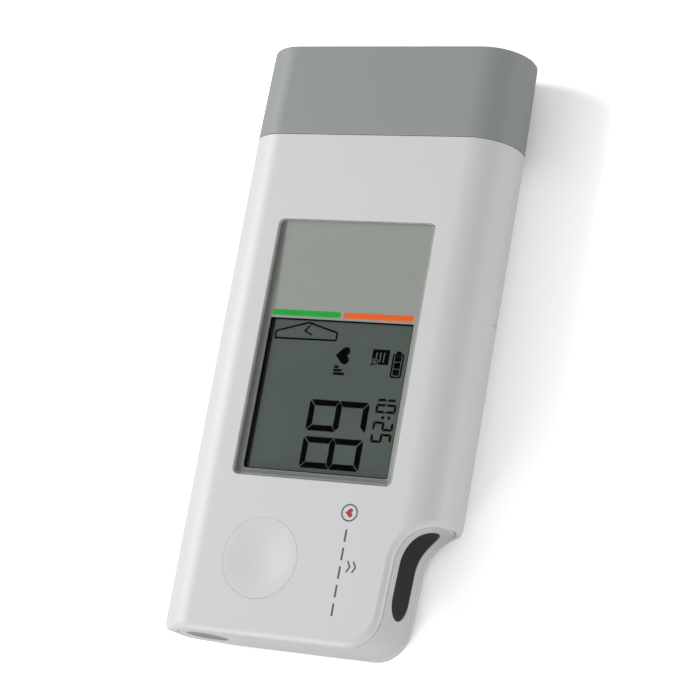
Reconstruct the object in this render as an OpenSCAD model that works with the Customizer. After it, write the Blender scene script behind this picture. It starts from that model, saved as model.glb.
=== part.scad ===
// Pocket ECG monitor: lies on its back, display side up, the plug cap towards +Y.
// Origin: centre of the back's bounding box, on the back face.

/* [Body] */
// Length with the cap on
body_len = 122; // [118:0.5:132]
// Width across the side walls
body_w = 58; // [56:0.5:64]
// Thickness from the back to the display side
body_t = 18; // [17.7:0.1:20]
// Thickness of the casing walls
wall = 1.6; // [1.3:0.05:1.8]
// Radius of the two long edges of the display side
front_r = 8.5; // [7.8:0.1:9.5]
// How far in from each side the back starts to curve up
rear_run = 19; // [16:0.5:21]
// Radius of the back's curve where it meets the side
rear_side_r = 6.5; // [5:0.1:7.5]
// Rounding of the display side's edge round the grip and the lower end
edge_r = 1.5; // [1:0.1:1.8]
// Height of the rounding of the back's edge
rear_edge_h = 3.6; // [2:0.1:3.6]
// Width of the rounding of the back's edge
rear_edge_w = 1.8; // [1:0.1:1.9]
// Radius of the lower left corner, seen from the front
left_corner_r = 2; // [1.8:0.1:4]
// Open line left between casing parts
seam_gap = 0.1; // [0.06:0.01:0.2]

/* [Finger recess] */
// Radius of the recess for the index finger
recess_r = 8.25; // [7:0.05:9]
// Distance of the recess centre from the lower end
recess_y = 17.1; // [16.5:0.1:20]
// Distance of the grip wall's lower end from the right side
grip_in = 9.44; // [8.5:0.1:10.5]
// Lean of the grip wall towards the recess, in degrees
grip_lean = 2.4; // [0:0.1:3]
// Radius of the corner under the grip wall
grip_corner_r = 7.3; // [6:0.1:8.5]
// Radius of the lip between the side wall and the recess
lip_r = 1.8; // [1.7:0.1:3]

/* [Cap and plug] */
// Length of the cap
cap_len = 19.34; // [18.5:0.1:24]
// Narrowing of the cap at each side towards its end
cap_draft = 0.35; // [0:0.05:0.6]
// Chamfer round the end of the cap
cap_chamfer = 0.4; // [0.2:0.05:0.8]
// Length of the collar that the cap slides over
collar_len = 3.4; // [2.5:0.1:4.5]
// Wall of the collar
collar_wall = 1.4; // [1:0.05:1.8]
// Clearance between collar and cap
cap_clear = 0.15; // [0.1:0.01:0.3]
// Width of the metal plug shell
plug_w = 12; // [11.9:0.05:12.1]
// Height of the metal plug shell
plug_h = 4.5; // [4.4:0.05:4.6]
// Sheet thickness of the plug shell
plug_sheet = 0.3; // [0.25:0.05:0.4]
// Length of the plug outside the collar
plug_out = 13.3; // [12:0.1:13.8]

/* [Display] */
// Width of the display window
window_w = 34.4; // [32:0.2:36]
// Length of the display window
window_len = 52.9; // [50:0.2:55]
// Distance of the window from the lower end
window_y = 31.6; // [31:0.2:34]
// Corner radius of the window
window_r = 1.2; // [0.6:0.1:2]
// Depth of the window pane below the front face
lens_recess = 0.25; // [0.1:0.05:0.4]
// Thickness of the window pane
lens_t = 0.85; // [0.7:0.05:1]
// Clearance round the window pane
lens_clear = 0.08; // [0.05:0.01:0.15]
// Thickness of the printed mask behind the pane
mask_t = 0.2; // [0.15:0.05:0.3]
// Width of the mask beside the liquid crystal display
mask_rim = 1.5; // [1.3:0.05:2]
// Thickness of the ledge that carries the pane
ledge_t = 0.5; // [0.4:0.05:0.6]
// Width of that ledge
ledge_w = 1.3; // [1:0.05:1.3]
// Visible length of the liquid crystal display
lcd_view_len = 31; // [28:0.5:33]
// Thickness of the liquid crystal display
lcd_t = 1.7; // [1.5:0.05:1.9]
// Wall of the frame round the liquid crystal display
lcd_frame_wall = 1.6; // [1:0.1:1.8]
// Width of the two coloured stripes
stripe_w = 1.25; // [0.8:0.05:1.6]
// Gap between the two stripes
stripe_gap = 0.45; // [0.35:0.05:1.5]

/* [Electrodes] */
// Lower edge of the electrode band above the back
band_z = 3.6; // [3.6:0.05:4.5]
// Height of the electrode band
band_h = 12.9; // [12:0.1:13]
// Distance of the band's end from the left side
band_left = 3; // [2.5:0.1:6]
// Distance of the band's end from the right side
band_right = 0.95; // [0.9:0.05:2]
// Height of the finger electrode across the band
finger_h = 7.9; // [7:0.1:9]
// Distance of the finger electrode's lower end from the lower end
finger_y = 7.3; // [6.5:0.1:9]
// Distance of the finger electrode's tip from the right side
finger_tip = 3.9; // [3.8:0.1:6]
// Thickness of both electrodes
electrode_t = 0.9; // [0.7:0.05:1.1]
// Depth of the electrodes below the band's surface
electrode_sink = 0.1; // [0.05:0.01:0.2]
// Diameter of the chest electrode
chest_d = 8.5; // [7:0.1:9]
// Height of the chest electrode above the band's middle line
chest_up = 0.9; // [0:0.1:1.2]
// Diameter of the electrodes' contact studs
stud_d = 3; // [2:0.1:3.5]

/* [Function key] */
// Diameter of the key
key_d = 16; // [13:0.1:17]
// Distance of the key's centre from the left side
key_x = 21.3; // [20:0.1:23]
// Distance of the key's centre from the lower end
key_y = 15.4; // [14:0.1:17]
// Depth of the key's finger dish
key_dish = 0.6; // [0.3:0.05:0.8]
// Gap round the key
key_clear = 0.08; // [0.05:0.01:0.1]
// Travel of the key
key_travel = 0.4; // [0.3:0.05:0.4]
// Width of the retaining flange under the casing
key_flange = 1.2; // [0.8:0.1:1.5]

/* [Batteries] */
// Diameter of a battery cell
cell_d = 10.5; // [10:0.1:10.6]
// Length of a battery cell over its nub
cell_len = 44.5; // [43.5:0.1:45]
// Clearance round a cell in its tray
cell_clear = 0.15; // [0.1:0.01:0.2]
// Gap between a cell and the battery door
cell_floor_gap = 0.2; // [0.1:0.05:0.3]
// Space for the contact at each end of a cell
contact_room = 1.5; // [1.2:0.1:2]
// Distance of the tray from the lower end
tray_y = 6.7; // [6:0.1:8]
// Thickness of the tray's walls
tray_wall = 1.2; // [1:0.1:1.5]
// Thickness of the tray's roof over the cells
tray_roof = 0.5; // [0.4:0.05:0.6]
// Distance of the line between door and rear shell from the lower end
door_len = 67.1; // [60:0.1:70]

/* [Circuit board] */
// Thickness of the circuit board
board_t = 1; // [0.8:0.1:1.2]
// Distance of the board from the side walls
board_side = 5; // [4.5:0.1:7]
// Thickness of sheet metal contacts
strip_t = 0.3; // [0.2:0.05:0.4]

/* [Screws] */
// Diameter of the screw shanks
screw_d = 1.9; // [1.6:0.1:2]
// Diameter of the screw heads
screw_head_d = 3.8; // [3.4:0.1:4]
// Height of the screw heads
screw_head_h = 1.1; // [0.9:0.1:1.2]
// Distance of the two case screws from the centre line
case_screw_x = 9; // [8.6:0.1:9.5]
// Distance of the case screws from the cap's seam
case_screw_y = 10.66; // [10:0.1:14]

/* [Hidden] */
$fn = 48;

far = 1;                              // overshoot of a cut past a face
half_w = body_w / 2;
low_y = -body_len / 2;                // lower end
top_y = body_len / 2;                 // end of the cap
cap_y = top_y - cap_len;              // seam between body and cap
split_y = low_y + door_len;           // seam between rear shell and battery door
seam_z = body_t - front_r;            // seam at the widest line of the side
grip_x = half_w - grip_in;
grip_c = [grip_x - grip_corner_r, low_y + grip_corner_r];
// The grip wall is the common tangent of its corner's arc and the recess
recess_at = [grip_c[0] + (grip_corner_r + recess_r
                          + (low_y + recess_y - grip_c[1]) * sin(grip_lean)) / cos(grip_lean),
             low_y + recess_y];

// Outlines ---------------------------------------------------------------
function arc(c, r, a0, a1, n, skip = 0) =
    [for (k = [skip : n]) c + r * [cos(a0 + (a1 - a0) * k / n), sin(a0 + (a1 - a0) * k / n)]];
function mirrored(points) = [for (k = [len(points) - 1 : -1 : 0]) [-points[k][0], points[k][1]]];
function round_box(w, l, r, n = 4) =
    concat(arc([w / 2 - r, l / 2 - r], r, 0, 90, n), arc([r - w / 2, l / 2 - r], r, 90, 180, n),
           arc([r - w / 2, r - l / 2], r, 180, 270, n), arc([w / 2 - r, r - l / 2], r, 270, 360, n));

// Cross-section in X and Z, inset evenly: flat back, two tangent arcs up to the
// side's widest line, then one arc of front_r up to the flat display side.
back_r = (pow(rear_run - rear_side_r, 2) + seam_z * seam_z - rear_side_r * rear_side_r)
         / (2 * (seam_z - rear_side_r));
back_c = [half_w - rear_run, back_r];
side_c = [half_w - rear_side_r, seam_z];
back_a = atan2(side_c[1] - back_c[1], side_c[0] - back_c[0]);
function right_side(i) =
    concat(arc(back_c, back_r - i, -90, back_a, 5),
           arc(side_c, rear_side_r - i, back_a, 0, 7, 1),
           arc([half_w - front_r, seam_z], front_r - i, 0, 90, 9, 1));
function section(i) = concat(right_side(i), mirrored(right_side(i)));

// Plan in X and Y, inset evenly, open past the cap: lower left corner, corner under
// the grip, finger recess, then the lip that touches the recess and the right side.
// Its straight sides stand clear of the cross-section, which shapes the sides alone.
side_slack = 0.05;
plan_w = half_w + side_slack;
function lip_c(r) = [plan_w - r, recess_at[1]
                     + sqrt(pow(recess_r + r, 2) - pow(recess_at[0] - plan_w + r, 2))];
function plan(i) =
    let (corner = max(left_corner_r, i + 0.1), lip = max(lip_r, i + 0.1), c = lip_c(lip),
         a = atan2(c[1] - recess_at[1], c[0] - recess_at[0]))
    concat(arc([corner - plan_w, low_y + corner], corner - i, 180, 270, 3),
           arc(grip_c, grip_corner_r - i, 270, 360 - grip_lean, 7),
           arc(recess_at, recess_r + i, 180 - grip_lean, a, 8),
           arc(c, lip - i, a - 180, 0, 4, 1),
           [[plan_w - i, top_y + far], [i - plan_w, top_y + far]]);

// Solid through outlines of equal point count at rising heights
module loft(outlines, heights) {
    n = len(outlines[0]);
    last = len(outlines) - 1;
    points = [for (k = [0 : last]) for (p = outlines[k]) [p[0], p[1], heights[k]]];
    sides = [for (k = [0 : last - 1]) for (j = [0 : n - 1])
             let (a = k * n + j, b = k * n + (j + 1) % n) each [[a, a + n, b + n], [a, b + n, b]]];
    bottom = [for (j = [0 : n - 1]) j];
    top = [for (j = [n - 1 : -1 : 0]) last * n + j];
    polyhedron(points, concat([bottom], sides, [top]));
}
module section_bar(i, y0, y1) {
    translate([0, y1, 0]) rotate([90, 0, 0]) linear_extrude(y1 - y0) polygon(section(i));
}
module plan_slab(i, z0, z1) {
    translate([0, 0, z0]) linear_extrude(z1 - z0) polygon(plan(i));
}
module box(x0, x1, y0, y1, z0, z1) {
    translate([x0, y0, z0]) cube([x1 - x0, y1 - y0, z1 - z0]);
}
module rod_x(r, x0, x1, y, z) {
    translate([x0, y, z]) rotate([0, 90, 0]) cylinder(r = r, h = x1 - x0);
}
module rod_y(r, x, y0, y1, z) {
    translate([x, y1, z]) rotate([90, 0, 0]) cylinder(r = r, h = y1 - y0);
}
module rod_z(r, at, z0, z1) {
    translate([at[0], at[1], z0]) cylinder(r = r, h = z1 - z0);
}

// Casing -----------------------------------------------------------------
// The plan with its front and back edges rounded; its flat ends stand just clear of
// the cross-section's
edge_steps = [0, 30, 60, 90];
end_slack = 0.02;
module plan_form() {
    rear = [for (a = edge_steps) [rear_edge_w * (1 - sin(a)),
                                  (rear_edge_h + end_slack) * (1 - cos(a)) - end_slack]];
    front = [for (a = edge_steps) [edge_r * (1 - cos(a)),
                                   body_t + end_slack - (edge_r + end_slack) * (1 - sin(a))]];
    rings = concat(rear, front);
    loft([for (r = rings) plan(r[0])], [for (r = rings) r[1]]);
}
module body_form() {
    intersection() {
        section_bar(0, low_y - far, cap_y);
        plan_form();
    }
}
module body_room() {
    intersection() {
        section_bar(wall, low_y, cap_y + far);
        plan_slab(wall, 0, body_t);
    }
}

// Window, liquid crystal display and board, from the front face down and the back up
lens_top = body_t - lens_recess;
mask_top = lens_top - lens_t;
ledge_top = mask_top - mask_t;
lcd_top = ledge_top - ledge_t;
lcd_low = lcd_top - lcd_t;
window_at = low_y + window_y + window_len / 2;
window_low = low_y + window_y;
lcd_view_w = window_w - 2 * mask_rim;
lcd_view_low = window_low + mask_rim;
lcd_view_top = lcd_view_low + lcd_view_len;
lcd_glass_side = 1.3;                 // glass past the visible area, at its sides
lcd_glass_end = 1.7;                  // glass past the visible area, at its ends
lcd_w = lcd_view_w + 2 * lcd_glass_side;
lcd_len = lcd_view_len + 2 * lcd_glass_end;
lcd_at = lcd_view_low + lcd_view_len / 2;
frame_w = lcd_w + 2 * lcd_frame_wall;
frame_len = lcd_len + 2 * lcd_frame_wall;
cell_r = cell_d / 2;
cell_z = wall + cell_floor_gap + cell_r;
board_low = cell_z + cell_r + tray_roof;
board_top = board_low + board_t;

// Screws: two through the rear shell, four through the board, of which the lower two
// also hold the battery tray
case_screw_at = [for (s = [-1, 1]) [s * case_screw_x, cap_y - case_screw_y]];
boss_r = 2.1;
boss_clear = 0.3;
rear_boss_r = 2.75;
rear_boss_top = 5.5;
screw_head_z = 1.2;
screw_reach = 11;
post_side = 7.5;                      // board posts beside the display, from the side
post_y = 29;                          // the same posts, from the cap's seam
post_at = [for (s = [-1, 1]) [s * (half_w - post_side), cap_y - post_y]];
ear_side = 8.5;                       // side ear of the tray, from the left side
ear_y = 12;                           // side ear of the tray, from the lower end
ear_end_x = 8;                        // end ear of the tray, from the centre line
ear_end_y = 3.9;                      // end ear of the tray, from the lower end
side_ear_at = [ear_side - half_w, low_y + ear_y];
end_ear_at = [ear_end_x, low_y + ear_end_y];
tray_ear_at = [side_ear_at, end_ear_at];
ear_t = 1.5;
post_screw_depth = 1.9;               // how deep a board screw reaches above the board

key_at = [key_x - half_w, low_y + key_y];
key_r = key_d / 2;

module front_shell() {
    holes = concat(post_at, tray_ear_at);
    color("white") difference() {
        union() {
            difference() {
                body_form();
                body_room();
                box(-half_w - far, half_w + far, low_y - far, cap_y + far, -far, seam_z);
            }
            translate([0, window_at, lcd_top]) linear_extrude(body_t - wall / 2 - lcd_top)
                polygon(round_box(window_w + 2, window_len + 2, window_r + 1));
            intersection() {
                for (p = holes) rod_z(boss_r, p, board_top, body_t - wall / 2);
                section_bar(wall / 2, low_y, cap_y);
            }
            for (p = case_screw_at) rod_z(boss_r, p, rear_boss_top + seam_gap, body_t - wall / 2);
        }
        band_zone();
        translate([0, window_at, ledge_top]) linear_extrude(body_t)
            polygon(round_box(window_w + 2 * lens_clear, window_len + 2 * lens_clear,
                              window_r + lens_clear));
        translate([0, window_at, 0]) linear_extrude(body_t)
            polygon(round_box(window_w - 2 * ledge_w, window_len - 2 * ledge_w, window_r));
        rod_z(key_r + key_clear, key_at, 0, body_t + far);
        for (p = holes) rod_z(screw_d / 2, p, 0, board_top + post_screw_depth);
        for (p = case_screw_at) rod_z(screw_d / 2, p, 0, screw_reach + 0.3);
    }
}

// Rear shell: upper part of the back, with two counterbored screw bosses
label_w = 17;
label_len = 13;
label_t = 0.15;
label_sink = 0.05;
label_y = split_y + 4.5;
module rear_shell() {
    color("white") difference() {
        union() {
            difference() {
                body_form();
                body_room();
            }
            for (p = case_screw_at) rod_z(rear_boss_r, p, wall / 2, rear_boss_top);
        }
        box(-half_w - far, half_w + far, low_y - far, split_y, -far, body_t + far);
        box(-half_w - far, half_w + far, low_y - far, cap_y + far, seam_z - seam_gap, body_t + far);
        for (p = case_screw_at) {
            rod_z(screw_head_d / 2 + boss_clear, p, -far, screw_head_z + screw_head_h);
            rod_z(screw_d / 2 + 0.1, p, 0, rear_boss_top + far);
        }
        box(-label_w / 2 - label_sink, label_w / 2 + label_sink, label_y - label_sink,
            label_y + label_len + label_sink, -far, label_sink + label_t);
    }
}

// Battery door: lower part of the back, slides off over the lower end. Two tongues
// reach under the rear shell.
tongue_w = 3.8;
tongue_in = 3;                        // reach under the rear shell
tongue_root = 6;
tongue_x = 14.5;
tongue_z = wall + 0.8;
tongue_t = 1;
module battery_door() {
    color("white") {
        difference() {
            body_form();
            body_room();
            box(-half_w - far, half_w + far, split_y - seam_gap, cap_y + far, -far, body_t + far);
            box(-half_w - far, half_w + far, low_y - far, cap_y + far, seam_z - seam_gap, body_t + far);
            // Its side wall slides past the band's end
            bar_along_y(band_c_left, band_c_right, band_r + seam_gap, split_y);
        }
        for (s = [-1, 1]) {
            x0 = s * tongue_x - tongue_w / 2;
            box(x0, x0 + tongue_w, split_y - tongue_root, split_y - seam_gap - wall, wall / 2,
                tongue_z + tongue_t);
            box(x0, x0 + tongue_w, split_y - tongue_root, split_y + tongue_in, tongue_z,
                tongue_z + tongue_t);
        }
    }
}

module cap() {
    narrow = (half_w - cap_draft) / half_w;
    color("slategray") difference() {
        translate([0, top_y, 0]) rotate([90, 0, 0]) loft(
            [[for (p = section(cap_chamfer)) [p[0] * narrow, p[1]]],
             [for (p = section(0)) [p[0] * narrow, p[1]]],
             section(0)],
            [0, cap_chamfer, cap_len - seam_gap]);
        section_bar(wall, cap_y - far, top_y - wall);
    }
}

// Collar: seated in the mouth of the casing, its front wall holds the plug
plug_at_z = 9.6;
plug_room = 0.1;
collar_in = 4;                        // collar's seat inside the casing
module neck_collar() {
    color("gainsboro") difference() {
        union() {
            section_bar(wall, cap_y - collar_in, cap_y - seam_gap);
            section_bar(wall + cap_clear, cap_y - seam_gap, cap_y + collar_len);
        }
        section_bar(wall + cap_clear + collar_wall, cap_y - collar_in - far, cap_y + collar_len - wall);
        box(-plug_w / 2 - plug_room, plug_w / 2 + plug_room, cap_y, top_y,
            plug_at_z - plug_h / 2 - plug_room, plug_at_z + plug_h / 2 + plug_room);
    }
}

// Display ----------------------------------------------------------------
module display_lens() {
    color("lightsteelblue", 0.4) translate([0, window_at, mask_top]) linear_extrude(lens_t)
        polygon(round_box(window_w, window_len, window_r));
}
stripe_y = lcd_view_top + 0.45;
stripe_side = 1.6;                    // stripes' outer ends from the window's side
stripe_len = window_w / 2 - stripe_side - stripe_gap / 2;
module stripe(side, extra = 0) {
    translate([side * (stripe_gap + stripe_len) / 2, stripe_y + stripe_w / 2, ledge_top - extra])
        linear_extrude(mask_t + 2 * extra) polygon(round_box(stripe_len, stripe_w, stripe_w / 2 - 0.01));
}
module display_mask() {
    color("darkgray") difference() {
        translate([0, window_at, ledge_top]) linear_extrude(mask_t)
            polygon(round_box(window_w, window_len, window_r));
        box(-lcd_view_w / 2, lcd_view_w / 2, lcd_view_low, lcd_view_top, 0, body_t);
        for (s = [-1, 1]) stripe(s, far);
    }
}
module normal_stripe() {
    color("green") stripe(-1);
}
module attention_stripe() {
    color("orangered") stripe(1);
}
module lcd_glass() {
    color("darkseagreen") translate([0, lcd_at, lcd_low]) linear_extrude(lcd_t)
        polygon(round_box(lcd_w, lcd_len, 0.4));
}
zebra_w = 1.6;
module zebra_strip(side, extra = 0) {
    x = side * (lcd_w / 2 - zebra_w);
    box(x - zebra_w / 2 - extra, x + zebra_w / 2 + extra, lcd_at - lcd_len / 2 + 1 - extra,
        lcd_at + lcd_len / 2 - 1 + extra, board_top - extra, lcd_low + extra);
}
module lcd_frame() {
    rim_low = 0.3;                    // frame's edge below the display's front
    color("whitesmoke") difference() {
        translate([0, lcd_at, board_top]) linear_extrude(lcd_top - rim_low - board_top)
            polygon(round_box(frame_w, frame_len, 1));
        translate([0, lcd_at, lcd_low]) linear_extrude(body_t)
            polygon(round_box(lcd_w, lcd_len, 0.4));
        box(-lcd_view_w / 2 + 4, lcd_view_w / 2 - 4, lcd_view_low, lcd_view_top, 0, body_t);
        for (s = [-1, 1]) zebra_strip(s, 0.01);
    }
}
module zebra_strips() {
    color("dimgray") for (s = [-1, 1]) zebra_strip(s);
}

// Electrodes -------------------------------------------------------------
band_r = band_h / 2;
band_mid = band_z + band_r;
band_c_left = band_left + band_r - half_w;
band_c_right = half_w - band_right - band_r;
lip_y = lip_c(lip_r)[1];
// Round-ended bar outline about the band's middle line
function round_bar(c0, c1, r) = concat(arc([c1, band_mid], r, -90, 90, 16),
                                       arc([c0, band_mid], r, 90, 270, 16));
module bar_along_y(c0, c1, r, y1) {
    translate([0, y1, 0]) rotate([90, 0, 0]) linear_extrude(y1 - low_y + far)
        polygon(round_bar(c0, c1, r));
}
module bar_along_x(c0, c1, r) {
    rotate([90, 0, 90]) linear_extrude(half_w + far) polygon(round_bar(c0, c1, r));
}
// Wall of the plan between two insets
module wall_zone(out, depth) {
    difference() {
        plan_slab(out, 0, body_t);
        plan_slab(depth, -far, body_t + far);
    }
}
module band_zone() {
    intersection() {
        wall_zone(-far, wall);
        bar_along_y(band_c_left, band_c_right, band_r, lip_y);
    }
}
finger_r = finger_h / 2;
finger_c_low = low_y + finger_y + finger_r;
finger_c_tip = half_w - finger_tip - finger_r;
stud_r = stud_d / 2;
finger_contact_x = recess_at[0] - recess_r - wall - 0.15;
module finger_zone(out, depth) {
    intersection() {
        wall_zone(out, depth);
        bar_along_y(grip_x - wall - 2 * finger_r, finger_c_tip, finger_r, lip_y);
        bar_along_x(finger_c_low, lip_y + finger_r, finger_r);
    }
    rod_x(stud_r, finger_contact_x, recess_at[0] - recess_r - depth + 0.05, recess_at[1], band_mid);
}
chest_depth = electrode_sink + electrode_t;
chest_z = band_mid + chest_up;
module chest_zone(out) {
    rod_y(chest_d / 2, band_c_left, low_y + out, low_y + chest_depth, chest_z);
    rod_y(stud_r, band_c_left, low_y + chest_depth - 0.05, low_y + wall, chest_z);
}
module electrode_band() {
    color("gainsboro") difference() {
        intersection() {
            plan_form();
            band_zone();
        }
        finger_zone(-far, chest_depth);
        chest_zone(-far);
    }
}
module finger_electrode() {
    color("#333333") finger_zone(electrode_sink, chest_depth);
}
module chest_electrode() {
    color("dimgray") chest_zone(electrode_sink);
}

// Function key and its switch ----------------------------------------------
flange_gap = 0.05;
flange_t = 0.45;
flange_top = body_t - wall - flange_gap;
dish_r = (key_r * key_r + key_dish * key_dish) / (2 * key_dish);
switch_w = 6;
switch_h = (flange_top - flange_t - board_top) * 0.62;
plunger_r = 1.65;
plunger_top = board_top + switch_h + key_travel;
module function_key() {
    color("white") difference() {
        union() {
            rod_z(key_r, key_at, flange_top - flange_t, body_t);
            rod_z(key_r + key_flange, key_at, flange_top - flange_t, flange_top);
            rod_z(plunger_r, key_at, plunger_top, flange_top - flange_t + 0.1);
        }
        translate([key_at[0], key_at[1], body_t + dish_r - key_dish]) sphere(r = dish_r, $fn = 96);
    }
}
module key_switch() {
    color("#222222") difference() {
        box(key_at[0] - switch_w / 2, key_at[0] + switch_w / 2, key_at[1] - switch_w / 2,
            key_at[1] + switch_w / 2, board_top, board_top + switch_h);
        rod_z(plunger_r + 0.05, key_at, board_top + 0.3, body_t);
    }
}
module switch_plunger() {
    color("ivory") rod_z(plunger_r, key_at, board_top + 0.3 + key_travel + 0.1, plunger_top);
}

// Circuit board ------------------------------------------------------------
board_x = half_w - board_side;
board_low_y = low_y + 5;
board_end_y = low_y + wall + 0.7;     // the board's end left of the grip corner
board_high_y = cap_y - 4.66;
board_grip_x = grip_x - wall - 1.16;
board_step_y = lip_y + 2.1;
module main_board() {
    color("darkgreen") difference() {
        union() {
            box(-board_x, board_x, board_step_y, board_high_y, board_low, board_top);
            box(-board_x, board_grip_x, board_low_y, board_step_y + far, board_low, board_top);
            box(-board_x, grip_x - grip_corner_r, board_end_y, board_low_y + far, board_low, board_top);
        }
        for (p = case_screw_at) rod_z(boss_r + boss_clear, p, 0, body_t);
        for (p = concat(post_at, tray_ear_at)) rod_z(screw_d / 2 + 0.1, p, 0, body_t);
    }
}
// Chips: centre from the cap's seam, size, and which face of the board
chips = [[[-13, -23], [9, 9, 1.3], -1], [[2, -24], [6, 8, 1.1], -1], [[8.5, -19], [4, 5, 0.9], -1],
         [[15, -9], [5, 3.2, 1.2], -1], [[-16, -9], [8, 3, 1.1], -1], [[-4, -16], [3, 3, 0.8], -1],
         [[15, -24], [2, 1.2, 0.8], 1], [[-15, -24], [2, 1.2, 0.8], 1]];
module board_chips() {
    color("#1a1a1a") for (c = chips) {
        size = c[1];
        z = c[2] < 0 ? board_low - size[2] : board_top;
        box(c[0][0] - size[0] / 2, c[0][0] + size[0] / 2, cap_y + c[0][1] - size[1] / 2,
            cap_y + c[0][1] + size[1] / 2, z, z + size[2]);
    }
}
buzzer_r = 4;
buzzer_h = 2.4;
buzzer_side = 11.5;
buzzer_y = 20;
buzzer_at = [half_w - buzzer_side, cap_y - buzzer_y];
module buzzer() {
    color("#111111") difference() {
        rod_z(buzzer_r, buzzer_at, board_low - buzzer_h, board_low);
        rod_z(0.8, buzzer_at, 0, board_low - buzzer_h + 0.8);
    }
}

// Plug -----------------------------------------------------------------------
plug_low_z = plug_at_z - plug_h / 2;
plug_end = cap_y + collar_len + plug_out;
plug_back = board_high_y - 1.5;
plug_block_len = 5;
latch_x = 2.5;                        // latch windows in the plug shell, from its middle
latch_w = 2.2;
latch_y = 5.3;                        // the same windows, from the plug's end
tongue_h = 1.9;                       // plastic tongue that carries the contacts
pin_w = 1;
pin_pitch = 2.5;
pin_t = 0.15;
module usb_shell() {
    color("silver") difference() {
        box(-plug_w / 2, plug_w / 2, plug_back, plug_end, plug_low_z, plug_low_z + plug_h);
        box(plug_sheet - plug_w / 2, plug_w / 2 - plug_sheet, plug_back - far, plug_end + far,
            plug_low_z + plug_sheet, plug_low_z + plug_h - plug_sheet);
        for (s = [-1, 1])
            box(s * latch_x - latch_w / 2, s * latch_x + latch_w / 2, plug_end - latch_y - latch_w,
                plug_end - latch_y, plug_low_z - far, plug_low_z + plug_h + far);
    }
}
module usb_tongue() {
    inner = plug_w / 2 - plug_sheet;
    color("white") difference() {
        union() {
            box(-inner, inner, plug_back, plug_end - 0.4, plug_low_z + plug_sheet,
                plug_low_z + plug_sheet + tongue_h);
            box(-inner, inner, plug_back, cap_y + collar_len, plug_low_z + plug_sheet,
                plug_low_z + plug_h - plug_sheet);
            box(-inner, inner, plug_back - plug_block_len, plug_back, plug_low_z, board_low);
        }
        for (k = [-1.5 : 1.5]) usb_pin(k, 0.01);
    }
}
module usb_pin(k, extra = 0) {
    z = plug_low_z + plug_sheet + tongue_h;
    box(k * pin_pitch - pin_w / 2 - extra, k * pin_pitch + pin_w / 2 + extra,
        cap_y + collar_len - extra, plug_end - 1.4 + extra, z - pin_t - extra, z + extra);
}
module usb_contacts() {
    color("gold") for (k = [-1.5 : 1.5]) usb_pin(k);
}

// Electrode contacts: strips from each stud up to the board's underside
strip_w = 3;
strip_low = band_mid - 2;
strip_reach = 3;                      // strips' reach under the board
module finger_contact() {
    x = finger_contact_x;
    y = recess_at[1];
    color("goldenrod") {
        box(x - strip_t, x, y - strip_w / 2, y + strip_w / 2, strip_low, board_low);
        box(max(board_grip_x - strip_reach, tray_x + strip_t), x - strip_t / 2, y - strip_w / 2,
            y + strip_w / 2, board_low - strip_t, board_low);
    }
}
module chest_contact() {
    y = low_y + wall;
    color("goldenrod") {
        box(band_c_left - strip_w / 2, band_c_left + strip_w / 2, y, y + strip_t, strip_low, board_low);
        box(band_c_left - strip_w / 2, band_c_left + strip_w / 2, y + strip_t,
            board_end_y + strip_reach, board_low - strip_t, board_low);
    }
}

// Battery bay ------------------------------------------------------------------
cell_pitch = cell_d + 2 * cell_clear + 0.4;
nub_len = 1;
nub_r = 1.9;
tray_x = cell_pitch / 2 + cell_r + cell_clear + tray_wall;
tray_low_y = low_y + tray_y;
bay_low_y = tray_low_y + tray_wall;
bay_high_y = bay_low_y + cell_len + 2 * contact_room;
tray_low_z = cell_z - cell_r + 1.4;
module battery_cells() {
    color("steelblue") for (s = [-1, 1]) {
        y0 = bay_low_y + contact_room + (s < 0 ? 0 : nub_len);
        rod_y(cell_r, s * cell_pitch / 2, y0, y0 + cell_len - nub_len, cell_z);
    }
}
module cell_caps() {
    color("silver") for (s = [-1, 1]) {
        y0 = bay_low_y + contact_room + (s < 0 ? cell_len - nub_len : 0);
        rod_y(nub_r, s * cell_pitch / 2, y0, y0 + nub_len, cell_z);
    }
}
// One bowed leaf on an end wall; dir is +1 when it bows towards +Y
leaf_h = 6;
leaf_w = 5;
module leaf(x, y, dir) {
    bow = contact_room - strip_t;
    r = (leaf_w * leaf_w / 4 + bow * bow) / (2 * bow);
    intersection() {
        difference() {
            rod_z(r, [x, y + dir * (contact_room - r)], cell_z - leaf_h / 2, cell_z + leaf_h / 2);
            rod_z(r - strip_t, [x, y + dir * (contact_room - r)], 0, body_t);
        }
        box(x - leaf_w, x + leaf_w, min(y, y + dir * contact_room), max(y, y + dir * contact_room),
            0, body_t);
    }
}
module cell_contacts() {
    z0 = cell_z - leaf_h / 2;
    z1 = cell_z + leaf_h / 2;
    x = cell_pitch / 2;
    color("silver") {
        box(-x - leaf_w / 2, x + leaf_w / 2, bay_low_y, bay_low_y + strip_t, z0, z1);
        for (s = [-1, 1]) {
            box(s * x - leaf_w / 2, s * x + leaf_w / 2, bay_high_y - strip_t, bay_high_y, z0, z1);
            leaf(s * x, bay_low_y, 1);
            leaf(s * x, bay_high_y, -1);
        }
    }
}
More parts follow.
